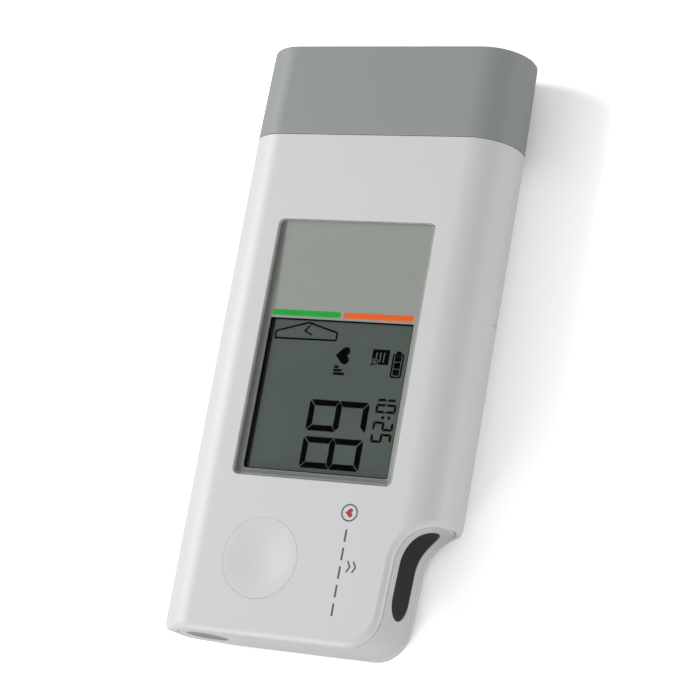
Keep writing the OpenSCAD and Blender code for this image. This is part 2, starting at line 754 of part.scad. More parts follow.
module battery_tray() {
    channel = cell_r + cell_clear;
    color("lightgray") difference() {
        union() {
            box(-tray_x, tray_x, tray_low_y, bay_high_y + tray_wall, tray_low_z, board_low);
            for (p = tray_ear_at) rod_z(boss_r, p, board_low - ear_t, board_low);
            box(side_ear_at[0], 0, side_ear_at[1] - boss_r, side_ear_at[1] + boss_r,
                board_low - ear_t, board_low);
            box(end_ear_at[0] - boss_r, end_ear_at[0] + boss_r, end_ear_at[1], tray_low_y + far,
                board_low - ear_t, board_low);
        }
        for (s = [-1, 1]) {
            rod_y(channel, s * cell_pitch / 2, bay_low_y, bay_high_y, cell_z);
            box(s * cell_pitch / 2 - channel, s * cell_pitch / 2 + channel, bay_low_y, bay_high_y,
                0, cell_z);
        }
        // The end contacts' plate runs through the rib between the cells
        box(-leaf_w, leaf_w, bay_low_y, bay_low_y + strip_t, 0, cell_z + leaf_h / 2);
        for (p = tray_ear_at) rod_z(screw_d / 2 + 0.1, p, 0, body_t);
    }
}

// Fasteners ----------------------------------------------------------------------
module screw(at, head_z, tip_z) {
    rod_z(screw_head_d / 2, at, head_z, head_z + screw_head_h);
    rod_z(screw_d / 2 - 0.05, at, head_z + screw_head_h, tip_z);
}
module case_screws() {
    color("silver") for (p = case_screw_at) difference() {
        screw(p, screw_head_z, screw_reach);
        for (a = [0, 90]) translate([p[0], p[1], 0]) rotate([0, 0, a])
            box(-1.1, 1.1, -0.25, 0.25, 0, screw_head_z + 0.6);
    }
}
module board_screws() {
    tip = board_top + post_screw_depth - 0.2;
    color("silver") {
        for (p = post_at) screw(p, board_low - screw_head_h, tip);
        for (p = tray_ear_at) screw(p, board_low - ear_t - screw_head_h, tip);
    }
}
module rating_label() {
    color("gainsboro") box(-label_w / 2, label_w / 2, label_y, label_y + label_len, label_sink,
                           label_sink + label_t);
}

front_shell();
rear_shell();
battery_door();
cap();
neck_collar();
display_lens();
display_mask();
normal_stripe();
attention_stripe();
electrode_band();
finger_electrode();
chest_electrode();
function_key();
rating_label();
lcd_glass();
lcd_frame();
zebra_strips();
main_board();
board_chips();
key_switch();
switch_plunger();
usb_shell();
usb_tongue();
usb_contacts();
buzzer();
finger_contact();
chest_contact();
battery_cells();
cell_caps();
cell_contacts();
battery_tray();
case_screws();
board_screws();
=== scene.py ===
import math

import bpy
import numpy as np
from mathutils import Matrix, Vector
from mathutils.geometry import delaunay_2d_cdt


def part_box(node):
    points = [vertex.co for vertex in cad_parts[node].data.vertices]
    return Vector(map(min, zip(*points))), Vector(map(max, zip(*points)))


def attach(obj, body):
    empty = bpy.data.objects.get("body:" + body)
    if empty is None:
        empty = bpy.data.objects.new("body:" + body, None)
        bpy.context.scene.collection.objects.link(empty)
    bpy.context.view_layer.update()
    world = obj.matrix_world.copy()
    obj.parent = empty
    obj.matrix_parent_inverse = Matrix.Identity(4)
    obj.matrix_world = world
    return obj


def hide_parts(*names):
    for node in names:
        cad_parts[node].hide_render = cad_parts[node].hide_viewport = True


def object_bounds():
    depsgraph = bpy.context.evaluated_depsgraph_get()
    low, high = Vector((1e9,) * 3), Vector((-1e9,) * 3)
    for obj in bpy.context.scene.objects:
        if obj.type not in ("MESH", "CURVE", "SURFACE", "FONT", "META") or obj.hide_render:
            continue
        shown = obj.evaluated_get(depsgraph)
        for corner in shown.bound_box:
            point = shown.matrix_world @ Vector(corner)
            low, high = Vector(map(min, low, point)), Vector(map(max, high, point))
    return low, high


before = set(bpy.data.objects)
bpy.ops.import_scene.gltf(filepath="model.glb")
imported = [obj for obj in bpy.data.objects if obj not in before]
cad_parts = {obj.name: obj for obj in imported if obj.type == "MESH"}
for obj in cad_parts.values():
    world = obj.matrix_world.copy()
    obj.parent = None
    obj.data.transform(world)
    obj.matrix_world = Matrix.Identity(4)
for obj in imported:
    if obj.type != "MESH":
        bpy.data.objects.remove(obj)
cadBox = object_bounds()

mm = 0.001  # shapes are worked out in millimetres, meshes are written in metres
print("frame loaded:", len(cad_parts), "nodes")

# Camera, light and floor

view = {
    "place": (0.2074, -0.1128, 0.4252),   # metres
    "right": (0.8987, 0.1716, -0.4036),   # the picture's right and up, in the part's axes
    "up": (-0.0547, 0.9569, 0.2852),
    "lens": 123.5,
    "sensor": 36,
}


def makeCamera():
    right = Vector(view["right"]).normalized()
    back = right.cross(Vector(view["up"])).normalized()
    up = back.cross(right)
    data = bpy.data.cameras.new("camera")
    data.lens = view["lens"]
    data.sensor_width = view["sensor"]
    data.clip_start = 0.01
    camera = bpy.data.objects.new("camera", data)
    bpy.context.scene.collection.objects.link(camera)
    turn = Matrix((right, up, back)).transposed().to_4x4()
    camera.matrix_world = Matrix.Translation(view["place"]) @ turn
    bpy.context.scene.camera = camera


light = {
    "world": 0.38,
    "lamps": {                      # place, size, power in watts
        "leftLamp": ((-0.85, 0.2, 0.6), 0.45, 6.2),
        "frontLamp": ((-0.35, -0.9, 0.4), 0.45, 3.6),
        "rightLamp": ((1.0, -0.05, 0.1), 0.12, 2.6),
    },
    "aim": (0, 0, 0.01),
    "floorSize": 6.0,
    "floorColour": 0.8,             # what the object's light bounces off
    "floorShown": 1.95,             # what the camera sees of it near the object
    "floorFade": (0.16, 0.34),      # distances between which it turns into plain white
}


def makeLamp(name, place, size, power):
    data = bpy.data.lights.new(name, "AREA")
    data.energy = power
    data.size = size
    lamp = bpy.data.objects.new(name, data)
    bpy.context.scene.collection.objects.link(lamp)
    lamp.location = place
    lamp.rotation_euler = (Vector(light["aim"]) - Vector(place)).to_track_quat("-Z", "Y").to_euler()


def makeWorld():
    # The camera, mirrors and clear parts see white; every other ray gets the plain level
    world = bpy.data.worlds.new("studio")
    bpy.context.scene.world = world
    world.use_nodes = True
    nodes, links = world.node_tree.nodes, world.node_tree.links
    plain = nodes["Background"]
    plain.inputs["Strength"].default_value = light["world"]
    white = nodes.new("ShaderNodeBackground")
    white.inputs["Color"].default_value = (1, 1, 1, 1)
    rays = nodes.new("ShaderNodeLightPath")
    seen = rays.outputs["Is Camera Ray"]
    for kind in ("Is Glossy Ray", "Is Transmission Ray"):
        either = nodes.new("ShaderNodeMath")
        either.operation = "MAXIMUM"
        links.new(seen, either.inputs[0])
        links.new(rays.outputs[kind], either.inputs[1])
        seen = either.outputs[0]
    mix = nodes.new("ShaderNodeMixShader")
    links.new(seen, mix.inputs["Fac"])
    links.new(plain.outputs[0], mix.inputs[1])
    links.new(white.outputs[0], mix.inputs[2])
    links.new(mix.outputs[0], nodes["World Output"].inputs["Surface"])
    plain.inputs["Color"].default_value = (1, 1, 1, 1)


def makeFloor():
    # Light bounces off a pale floor. The camera sees a whiter one that keeps the shadow, and
    # further off plain white, by a smooth step of the distance from the object.
    half = light["floorSize"] / 2
    z = cadBox[0].z - 0.00002
    mesh = bpy.data.meshes.new("floor")
    mesh.from_pydata([(-half, -half, z), (half, -half, z), (half, half, z), (-half, half, z)],
                     [], [(0, 1, 2, 3)])
    floor = bpy.data.objects.new("floor", mesh)
    bpy.context.scene.collection.objects.link(floor)
    material = bpy.data.materials.new("floorPaint")
    material.use_nodes = True
    nodes, links = material.node_tree.nodes, material.node_tree.links
    nodes.clear()
    paint = nodes.new("ShaderNodeBsdfDiffuse")
    paint.inputs["Color"].default_value = (*[light["floorColour"]] * 3, 1)
    shown = nodes.new("ShaderNodeBsdfDiffuse")
    shown.inputs["Color"].default_value = (*[light["floorShown"]] * 3, 1)
    white = nodes.new("ShaderNodeEmission")
    place = nodes.new("ShaderNodeTexCoord")
    far = nodes.new("ShaderNodeVectorMath")
    far.operation = "LENGTH"
    links.new(place.outputs["Object"], far.inputs[0])
    fade = nodes.new("ShaderNodeMapRange")
    fade.interpolation_type = "SMOOTHSTEP"
    fade.inputs["From Min"].default_value, fade.inputs["From Max"].default_value = light["floorFade"]
    links.new(far.outputs["Value"], fade.inputs["Value"])
    seen = nodes.new("ShaderNodeMixShader")
    for source, target in ((fade.outputs[0], seen.inputs["Fac"]), (shown.outputs[0], seen.inputs[1]),
                           (white.outputs[0], seen.inputs[2])):
        links.new(source, target)
    rays = nodes.new("ShaderNodeLightPath")
    mix = nodes.new("ShaderNodeMixShader")
    out = nodes.new("ShaderNodeOutputMaterial")
    for source, target in ((rays.outputs["Is Camera Ray"], mix.inputs["Fac"]),
                           (paint.outputs[0], mix.inputs[1]),
                           (seen.outputs[0], mix.inputs[2]), (mix.outputs[0], out.inputs["Surface"])):
        links.new(source, target)
    mesh.materials.append(material)


makeCamera()
makeWorld()
for lampName, settings in light["lamps"].items():
    makeLamp(lampName, *settings)
makeFloor()
bpy.context.scene.view_settings.view_transform = "Standard"
print("camera, lamps and floor made")

# Node groups and materials


def srgb(r, g, b):
    # 0-255 values as a linear colour: c/12.92 up to 0.04045, else ((c+0.055)/1.055)^2.4.
    c = np.array([r, g, b]) / 255
    return tuple(np.where(c <= 0.04045, c / 12.92, ((c + 0.055) / 1.055) ** 2.4)) + (1.0,)


def newGroup(name, inputs, outputs):
    tree = bpy.data.node_groups.new(name, "ShaderNodeTree")
    for label, value in inputs.items():
        kind = "NodeSocketColor" if isinstance(value, tuple) else "NodeSocketFloat"
        socket = tree.interface.new_socket(label, in_out="INPUT", socket_type=kind)
        socket.default_value = value
    for label, kind in outputs.items():
        tree.interface.new_socket(label, in_out="OUTPUT", socket_type=kind)
    return tree, tree.nodes.new("NodeGroupInput"), tree.nodes.new("NodeGroupOutput")


def addMath(tree, operation, a, b):
    node = tree.nodes.new("ShaderNodeMath")
    node.operation = operation
    for socket, value in zip(node.inputs, (a, b)):
        if isinstance(value, (int, float)):
            socket.default_value = value
        else:
            tree.links.new(value, socket)
    return node.outputs[0]


def addMix(tree, factor, a, b):
    # a + (b - a) * factor, on colours.
    node = tree.nodes.new("ShaderNodeMix")
    node.data_type = "RGBA"
    for label, value in (("Factor", factor), ("A", a), ("B", b)):
        socket = [s for s in node.inputs if s.name == label and s.enabled][0]
        if isinstance(value, (int, float, tuple)):
            socket.default_value = value
        else:
            tree.links.new(value, socket)
    return [s for s in node.outputs if s.enabled][0]


def addNoise(tree, vector, scale, detail=2.0):
    node = tree.nodes.new("ShaderNodeTexNoise")
    node.inputs["Detail"].default_value = detail
    tree.links.new(vector, node.inputs["Vector"])
    if isinstance(scale, (int, float)):
        node.inputs["Scale"].default_value = scale
    else:
        tree.links.new(scale, node.inputs["Scale"])
    return node.outputs["Fac"]


def mouldedGroup():
    # Moulded surface: height is fine grain; the colour's value and the roughness drift slowly, and
    # where the 'edge' attribute is 1 the roughness is a little polished and the colour turns to the edge
    # colour: wear, and a painted highlight on the rims.
    tree, given, made = newGroup(
        "mouldedFinish",
        {"Color": (0.8, 0.8, 0.8, 1.0), "Edge Wear And Highlight Color": (0.9, 0.9, 0.9, 1.0), "Roughness": 0.5,
         "Drift": 0.04, "Grain Scale": 9000.0, "Grain Depth": 0.5, "Polish": 0.12},
        {"Color": "NodeSocketColor", "Roughness": "NodeSocketFloat", "Height": "NodeSocketFloat"})
    place = tree.nodes.new("ShaderNodeTexCoord").outputs["Object"]
    grain = addNoise(tree, place, given.outputs["Grain Scale"], 3.0)
    drift = addNoise(tree, place, 55.0, 3.0)
    edge = tree.nodes.new("ShaderNodeAttribute")
    edge.attribute_name = "edge"
    # Share of the edge colour on the rims: wear, and a painted highlight
    edgeShare = addMath(tree, "MULTIPLY", edge.outputs["Fac"], addNoise(tree, place, 420.0, 4.0))
    shade = addMath(tree, "MULTIPLY", addMath(tree, "SUBTRACT", drift, 0.5), given.outputs["Drift"])
    tone = tree.nodes.new("ShaderNodeHueSaturation")
    tree.links.new(given.outputs["Color"], tone.inputs["Color"])
    tree.links.new(addMath(tree, "ADD", shade, 1.0), tone.inputs["Value"])
    tree.links.new(addMix(tree, edgeShare, tone.outputs["Color"], given.outputs["Edge Wear And Highlight Color"]),
                   made.inputs["Color"])
    rough = addMath(tree, "ADD", given.outputs["Roughness"], addMath(tree, "MULTIPLY", shade, 2.0))
    speckle = addMath(tree, "MULTIPLY", addMath(tree, "SUBTRACT", grain, 0.5), 0.08)
    rough = addMath(tree, "ADD", rough, speckle)
    tree.links.new(addMath(tree, "SUBTRACT", rough,
                           addMath(tree, "MULTIPLY", edgeShare, given.outputs["Polish"])),
                   made.inputs["Roughness"])
    tree.links.new(addMath(tree, "MULTIPLY", grain, given.outputs["Grain Depth"]),
                   made.inputs["Height"])
    return tree


def metalGroup():
    # Drawn or rolled metal: noise stretched along one axis makes fine draw lines in the
    # height and roughness; a slow noise darkens it a little as tarnish.
    tree, given, made = newGroup(
        "drawnMetal",
        {"Color": (0.6, 0.6, 0.6, 1.0), "Tarnish Color": (0.3, 0.28, 0.26, 1.0),
         "Tarnish": 0.3, "Roughness": 0.3, "Line Scale": 2500.0},
        {"Color": "NodeSocketColor", "Roughness": "NodeSocketFloat", "Height": "NodeSocketFloat"})
    place = tree.nodes.new("ShaderNodeTexCoord").outputs["Object"]
    stretch = tree.nodes.new("ShaderNodeMapping")
    stretch.inputs["Scale"].default_value = (1.0, 0.04, 1.0)
    tree.links.new(place, stretch.inputs["Vector"])
    lines = addNoise(tree, stretch.outputs[0], given.outputs["Line Scale"], 2.0)
    patches = addNoise(tree, place, 240.0, 4.0)
    amount = addMath(tree, "MULTIPLY", patches, given.outputs["Tarnish"])
    tree.links.new(addMix(tree, amount, given.outputs["Color"], given.outputs["Tarnish Color"]),
                   made.inputs["Color"])
    spread = addMath(tree, "MULTIPLY", addMath(tree, "SUBTRACT", lines, 0.5), 0.25)
    tree.links.new(addMath(tree, "ADD", addMath(tree, "ADD", given.outputs["Roughness"], spread),
                           addMath(tree, "MULTIPLY", amount, 0.3)), made.inputs["Roughness"])
    tree.links.new(lines, made.inputs["Height"])
    return tree


mouldedFinish = mouldedGroup()
drawnMetal = metalGroup()


def newMaterial(name, constants):
    material = bpy.data.materials.new(name)
    material.use_nodes = True
    shader = material.node_tree.nodes["Principled BSDF"]
    for label, value in constants.items():
        shader.inputs[label].default_value = value
    return material, material.node_tree, shader


def useGroup(tree, shader, group, values, bump):
    # The group's colour and roughness feed the shader, its height a Bump node.
    node = tree.nodes.new("ShaderNodeGroup")
    node.node_tree = group
    for label, value in values.items():
        node.inputs[label].default_value = value
    relief = tree.nodes.new("ShaderNodeBump")
    relief.inputs["Distance"].default_value = bump
    tree.links.new(node.outputs["Height"], relief.inputs["Height"])
    tree.links.new(relief.outputs["Normal"], shader.inputs["Normal"])
    tree.links.new(node.outputs["Roughness"], shader.inputs["Roughness"])
    tree.links.new(node.outputs["Color"], shader.inputs["Base Color"])
    return node


# The second colour is the edge colour: worn rims, and a painted highlight on them
def plastic(name, colour, edgeWearAndHighlight, rough, grainScale=9000.0, grain=0.5, drift=0.04, bump=0.00002,
            polish=0.12, **constants):
    material, tree, shader = newMaterial(name, constants)
    useGroup(tree, shader, mouldedFinish,
             {"Color": colour, "Edge Wear And Highlight Color": edgeWearAndHighlight, "Roughness": rough, "Drift": drift,
              "Grain Scale": grainScale, "Grain Depth": grain, "Polish": polish}, bump)
    return material


def metal(name, colour, tarnishColour, tarnish, rough, lineScale=2500.0, bump=0.000006, **constants):
    material, tree, shader = newMaterial(name, {"Metallic": 1.0, **constants})
    useGroup(tree, shader, drawnMetal,
             {"Color": colour, "Tarnish Color": tarnishColour, "Tarnish": tarnish,
              "Roughness": rough, "Line Scale": lineScale}, bump)
    return material


behindPane = {"Specular IOR Level": 0.1}
# Each plastic's second colour shows on its rims: wear, and a painted highlight
materials = {
    "whitePlastic": plastic("whitePlastic", srgb(220, 220, 220), srgb(229, 229, 229), 0.42),
    "greyPlastic": plastic("greyPlastic", srgb(147, 152, 148), srgb(176, 180, 177), 0.5,
                           grainScale=7000.0, grain=0.8),
    "bandPlastic": plastic("bandPlastic", srgb(213, 214, 213), srgb(224, 224, 224), 0.4),
    "maskPrint": plastic("maskPrint", srgb(167, 171, 165), srgb(167, 171, 165), 0.45, drift=0.05,
                         **behindPane),
    "greenPrint": plastic("greenPrint", srgb(36, 180, 72), srgb(36, 180, 72), 0.45, **behindPane),
    "orangePrint": plastic("orangePrint", srgb(255, 112, 46), srgb(255, 112, 46), 0.45, **behindPane),
    "blackElectrode": plastic("blackElectrode", srgb(30, 30, 31), srgb(58, 58, 60), 0.42,
                              grainScale=5200.0, grain=0.7, **{"Specular IOR Level": 0.2}),
    "framePlastic": plastic("framePlastic", srgb(206, 206, 200), srgb(222, 222, 218), 0.5),
    "zebraRubber": plastic("zebraRubber", srgb(58, 58, 60), srgb(70, 70, 72), 0.75),
    "chipEpoxy": plastic("chipEpoxy", srgb(30, 30, 32), srgb(52, 52, 54), 0.6, grain=0.9),
    "tonguePlastic": plastic("tonguePlastic", srgb(226, 226, 220), srgb(235, 235, 232), 0.5),
    "redInk": plastic("redInk", srgb(170, 40, 48), srgb(170, 40, 48), 0.5),
    "slateInk": plastic("slateInk", srgb(72, 88, 98), srgb(72, 88, 98), 0.5),
    "lcdInk": plastic("lcdInk", srgb(8, 9, 8), srgb(8, 9, 8), 0.5, **{"Specular IOR Level": 0.0}),
    "metalElectrode": metal("metalElectrode", srgb(150, 150, 150), srgb(74, 72, 70), 0.5, 0.3),
    "plugSteel": metal("plugSteel", srgb(205, 205, 203), srgb(130, 128, 124), 0.35, 0.24),
    "cellSteel": metal("cellSteel", srgb(212, 211, 207), srgb(140, 138, 132), 0.3, 0.28),
    "screwSteel": metal("screwSteel", srgb(120, 120, 122), srgb(62, 60, 58), 0.5, 0.34),
    "goldContact": metal("goldContact", srgb(232, 190, 98), srgb(150, 108, 50), 0.35, 0.28),
}


def clearPane():
    # Clear cover: a thin film of reflection that grows towards grazing angles, by
    # 0.001 + 0.9 (1 - cos)^5, and at its bevel; the rest is see-through
    material, tree, shader = newMaterial("clearPane", {"Roughness": 0.07, "IOR": 1.49, "Metallic": 1.0})
    shader.inputs["Base Color"].default_value = srgb(240, 243, 240)
    facing = tree.nodes.new("ShaderNodeLayerWeight")
    facing.inputs["Blend"].default_value = 0.5
    edge = tree.nodes.new("ShaderNodeAttribute")
    edge.attribute_name = "edge"
    place = tree.nodes.new("ShaderNodeTexCoord").outputs["Object"]
    smear = addMath(tree, "MULTIPLY", addNoise(tree, place, 90.0, 4.0), 0.002)
    film = addMath(tree, "MULTIPLY", addMath(tree, "POWER", facing.outputs["Facing"], 5.0), 0.9)
    film = addMath(tree, "ADD", addMath(tree, "ADD", film, 0.001), smear)
    bevel = addMath(tree, "MULTIPLY", edge.outputs["Fac"], 0.14)
    tree.links.new(addMath(tree, "ADD", film, bevel), shader.inputs["Alpha"])
    return material


def addRamp(tree, value, low, high):
    # 0 at low, 1 at high, a smooth step between
    node = tree.nodes.new("ShaderNodeMapRange")
    node.interpolation_type = "SMOOTHSTEP"
    node.inputs["From Min"].default_value, node.inputs["From Max"].default_value = low, high
    tree.links.new(value, node.inputs["Value"])
    return node.outputs[0]


def splitPlace(tree):
    node = tree.nodes.new("ShaderNodeSeparateXYZ")
    tree.links.new(tree.nodes.new("ShaderNodeTexCoord").outputs["Object"], node.inputs[0])
    return node.outputs


def boxMask(tree, place, low, high, soft):
    # 1 inside a rectangle in X and Y (mm), falling to 0 over 'soft' outside it
    mask = None
    for axis in (0, 1):
        for bound, sign in ((low[axis], 1), (high[axis], -1)):
            part = addRamp(tree, place[axis], (bound - sign * soft) * mm, bound * mm)
            mask = part if mask is None else addMath(tree, "MULTIPLY", mask, part)
    return mask


# Where the panel's dark border ends: its seal border plus a painted shadow of the mask, wide on the left;
# 'soft' is the ramp on the left and on the other sides
lcd = {"left": -14.5, "right": 15.17, "low": -27.5, "high": 2.85,
       "soft": (0.5, 0.12), "sealAndShadow": srgb(12, 13, 12)}


def lcdPanel():
    # Reflective panel: slow cloudiness, and dark at the frame: the panel's own seal border, widened by a
    # painted shadow of the mask's walls, most on the left
    material, tree, shader = newMaterial("lcdPanel", {"Specular IOR Level": 0.1})
    place = splitPlace(tree)
    # clear is 1 on the lit field and falls to 0 over the seal border and the painted shadow
    clear = addMath(tree, "MULTIPLY",
                    addRamp(tree, place[0], (lcd["left"] - lcd["soft"][0]) * mm, lcd["left"] * mm),
                    addRamp(tree, place[0], (lcd["right"] + lcd["soft"][1]) * mm, lcd["right"] * mm))
    for bound, sign in ((lcd["low"], 1), (lcd["high"], -1)):
        part = addRamp(tree, place[1], (bound - sign * lcd["soft"][1]) * mm, bound * mm)
        clear = addMath(tree, "MULTIPLY", clear, part)
    cloud = addNoise(tree, tree.nodes.new("ShaderNodeTexCoord").outputs["Object"], 60.0, 2.0)
    tone = addMix(tree, cloud, srgb(84, 94, 88), srgb(95, 104, 98))
    tree.links.new(addMix(tree, clear, lcd["sealAndShadow"], tone), shader.inputs["Base Color"])
    rough = addMath(tree, "ADD", addMath(tree, "MULTIPLY", cloud, 0.1), 0.25)
    tree.links.new(rough, shader.inputs["Roughness"])
    return material


def labelFoil():
    # Satin foil with a thin printed frame and two rules across it, all bare
    low, high = (np.array(c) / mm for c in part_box("rating_label"))
    material, tree, shader = newMaterial("labelFoil", {"Metallic": 0.6})
    place = splitPlace(tree)
    frameOut = boxMask(tree, place, low + 0.8, high - 0.8, 0.05)
    frameIn = boxMask(tree, place, low + 1.0, high - 1.0, 0.05)
    ink = addMath(tree, "SUBTRACT", frameOut, frameIn)
    for share in (0.34, 0.7):
        y = low[1] + share * (high[1] - low[1])
        rule = boxMask(tree, place, (low[0] + 2, y - 0.08), (high[0] - 2, y + 0.08), 0.04)
        ink = addMath(tree, "ADD", ink, rule)
    node = useGroup(tree, shader, mouldedFinish,
                    {"Color": srgb(196, 197, 198), "Edge Wear And Highlight Color": srgb(210, 210, 210), "Roughness": 0.34,
                     "Drift": 0.06, "Grain Scale": 14000.0, "Grain Depth": 0.4, "Polish": 0.0}, 0.00001)
    tree.links.new(addMix(tree, ink, node.outputs["Color"], srgb(96, 100, 104)), shader.inputs["Base Color"])
    return material


def boardLaminate():
    # Green solder mask over fine copper runs: thin lines along X or Y, by patches of noise
    material, tree, shader = newMaterial("boardLaminate", {"Specular IOR Level": 0.6})
    place = splitPlace(tree)
    objectPlace = tree.nodes.new("ShaderNodeTexCoord").outputs["Object"]
    turn = addMath(tree, "GREATER_THAN", addNoise(tree, objectPlace, 130.0, 0.0), 0.5)
    runs = []
    for axis in (0, 1):
        wave = addMath(tree, "SINE", addMath(tree, "MULTIPLY", place[axis], 2 * math.pi / 0.0011), 0)
        runs.append(addMath(tree, "GREATER_THAN", wave, 0.62))
    both = addMath(tree, "ADD", addMath(tree, "MULTIPLY", runs[0], turn),
                   addMath(tree, "MULTIPLY", runs[1], addMath(tree, "SUBTRACT", 1.0, turn)))
    shown = addMath(tree, "GREATER_THAN", addNoise(tree, objectPlace, 320.0, 1.0), 0.46)
    both = addMath(tree, "MULTIPLY", both, shown)
    tree.links.new(addMix(tree, both, srgb(20, 84, 52), srgb(44, 122, 74)), shader.inputs["Base Color"])
    rough = addMath(tree, "ADD", addMath(tree, "MULTIPLY", both, 0.08), 0.28)
    tree.links.new(rough, shader.inputs["Roughness"])
    relief = tree.nodes.new("ShaderNodeBump")
    relief.inputs["Distance"].default_value = 0.00003
    tree.links.new(both, relief.inputs["Height"])
    tree.links.new(relief.outputs["Normal"], shader.inputs["Normal"])
    return material


def cellWrap():
    # Shrink sleeve of the two cells: dark, with a copper end and a thin pale line between
    low, high = (np.array(c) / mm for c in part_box("battery_cells"))
    material, tree, shader = newMaterial("cellWrap", {"Coat Weight": 0.5, "Coat Roughness": 0.12})
    place = splitPlace(tree)
    change = high[1] - 0.3 * (high[1] - low[1])
    copper = addRamp(tree, place[1], (change - 0.05) * mm, (change + 0.05) * mm)
    line = addMath(tree, "SUBTRACT", addRamp(tree, place[1], (change - 1.1) * mm, (change - 1.0) * mm),
                   addRamp(tree, place[1], (change - 0.5) * mm, (change - 0.4) * mm))
    node = useGroup(tree, shader, mouldedFinish,
                    {"Color": srgb(42, 44, 50), "Edge Wear And Highlight Color": srgb(80, 82, 88),
                     "Roughness": 0.3, "Drift": 0.1,
                     "Grain Scale": 3000.0, "Grain Depth": 0.3, "Polish": 0.0}, 0.00002)
    tone = addMix(tree, copper, node.outputs["Color"], srgb(186, 118, 70))
    tree.links.new(addMix(tree, line, tone, srgb(216, 214, 208)), shader.inputs["Base Color"])
    tree.links.new(addMath(tree, "MULTIPLY", copper, 0.7), shader.inputs["Metallic"])
    return material


materials.update(clearPane=clearPane(), lcdPanel=lcdPanel(), labelFoil=labelFoil(),
                 boardLaminate=boardLaminate(), cellWrap=cellWrap())
print("materials made:", len(materials))

# Outlines


def nodeBox(node):
    low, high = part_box(node)
    return np.array(low) / mm, np.array(high) / mm


casing = {
    "frontRadius": 8.5,       # long edges of the display side
    "rearRun": 19.0,          # where the back starts to curve up, from each side
    "rearSideRadius": 6.5,
    "sideWall": 0.7,          # upright part of the side, under the seam
    "frontEdge": (1.15, 1.4), # lower edge of the display side, width and height
    "frontEdgeTurn": 58.0,    # it leaves the wall upright and meets the face at a crease
    "rearEdgeHeight": 3.2,
    "rearEdgeWidth": 1.8,
    "leftCorner": 2.0,
    "gripIn": 9.44,           # grip wall's lower end from the right side
    "gripLean": 2.4,          # degrees
    "gripCorner": 7.3,
    "recessRadius": 8.25,
    "recessUp": 17.1,         # recess centre from the lower end
    "lipRadius": 1.8,
    "seamGap": 0.1,
    "wall": 1.35,
    "lip": 0.13,              # rounding of each moulded rim
    "sink": 0.02,             # the face lies this far below the prints on it
    "windowGap": 0.08,
}
bodyLow, bodyHigh = nodeBox("front_shell")
halfW = bodyHigh[0]
lowY = bodyLow[1]
capY = bodyHigh[1]
seamZ = bodyHigh[2] - casing["frontRadius"]
faceZ = bodyHigh[2] - casing["sink"]
frontR = faceZ - seamZ
splitY = nodeBox("rear_shell")[0][1]
flatHalf = halfW - frontR
backX = halfW - casing["rearRun"]
sideR = casing["rearSideRadius"]
sideX = halfW - sideR
sideZ = seamZ - casing["sideWall"]
backR = ((sideX - backX) ** 2 + sideZ ** 2 - sideR ** 2) / (2 * (sideZ - sideR))
backTurn = math.atan2(sideX - backX, backR - sideZ)   # the back arc's angle at the side arc
gripX = halfW - casing["gripIn"]
lean = math.radians(casing["gripLean"])
gripAt = np.array([gripX - casing["gripCorner"], lowY + casing["gripCorner"]])
# The grip wall touches its corner's arc and the recess
recess = np.array([gripAt[0] + (casing["gripCorner"] + casing["recessRadius"]
                                + (lowY + casing["recessUp"] - gripAt[1]) * math.sin(lean)) / math.cos(lean),
                   lowY + casing["recessUp"]])
lipCentre = np.array([halfW - casing["lipRadius"], recess[1] + math.sqrt(
    (casing["recessRadius"] + casing["lipRadius"]) ** 2
    - (recess[0] - halfW + casing["lipRadius"]) ** 2)])


def frontSection(x):
    # Height and normal of the display side at x: z = seam + sqrt(R^2 - o^2), where o is how
    # far x lies outside the flat; the normal is (o, 0, sqrt(R^2 - o^2)) / R.
    over = np.clip(np.abs(x) - flatHalf, 0, frontR)
    rise = np.sqrt(frontR ** 2 - over ** 2)
    return seamZ + rise, np.stack([np.sign(x) * over, np.zeros_like(x), rise], -1) / frontR


def rearSection(x):
    # Height and normal of the back at x: flat, then z = R - sqrt(R^2 - o^2) on the back arc
    # and z = centre - sqrt(r^2 - (|x| - sideX)^2) on the side arc.
    a = np.abs(x)
    over = np.clip(a - backX, 0, backR * math.sin(backTurn))
    backDrop = np.sqrt(backR ** 2 - over ** 2)
    turn = np.clip(a - sideX, 0, sideR)
    sideDrop = np.sqrt(sideR ** 2 - turn ** 2)
    onSide = a > backX + backR * math.sin(backTurn)
    z = np.where(onSide, sideZ - sideDrop, backR - backDrop)
    nx = np.where(onSide, turn / sideR, over / backR) * np.sign(x)
    nz = -np.where(onSide, sideDrop / sideR, backDrop / backR)
    return z, np.stack([nx, np.zeros_like(x), nz], -1)


def frontUnroll(x):
    # Length along the display side's section from its middle to x.
    over = np.clip((np.abs(x) - flatHalf) / frontR, 0, 1)
    return np.sign(x) * (np.minimum(np.abs(x), flatHalf) + frontR * np.arcsin(over))


def frontRoll(a):
    turn = np.maximum(np.abs(a) - flatHalf, 0) / frontR
    return np.sign(a) * (np.minimum(np.abs(a), flatHalf) + frontR * np.sin(turn))


sideLength = backX + backR * backTurn + sideR * (math.pi / 2 - backTurn)


def rearUnroll(x):
    over = np.clip((np.abs(x) - backX) / backR, 0, math.sin(backTurn))
    turn = np.maximum(np.arcsin(np.clip((np.abs(x) - sideX) / sideR, 0, 1)), backTurn)
    return np.sign(x) * (np.minimum(np.abs(x), backX) + backR * np.arcsin(over)
                         + sideR * (turn - backTurn))


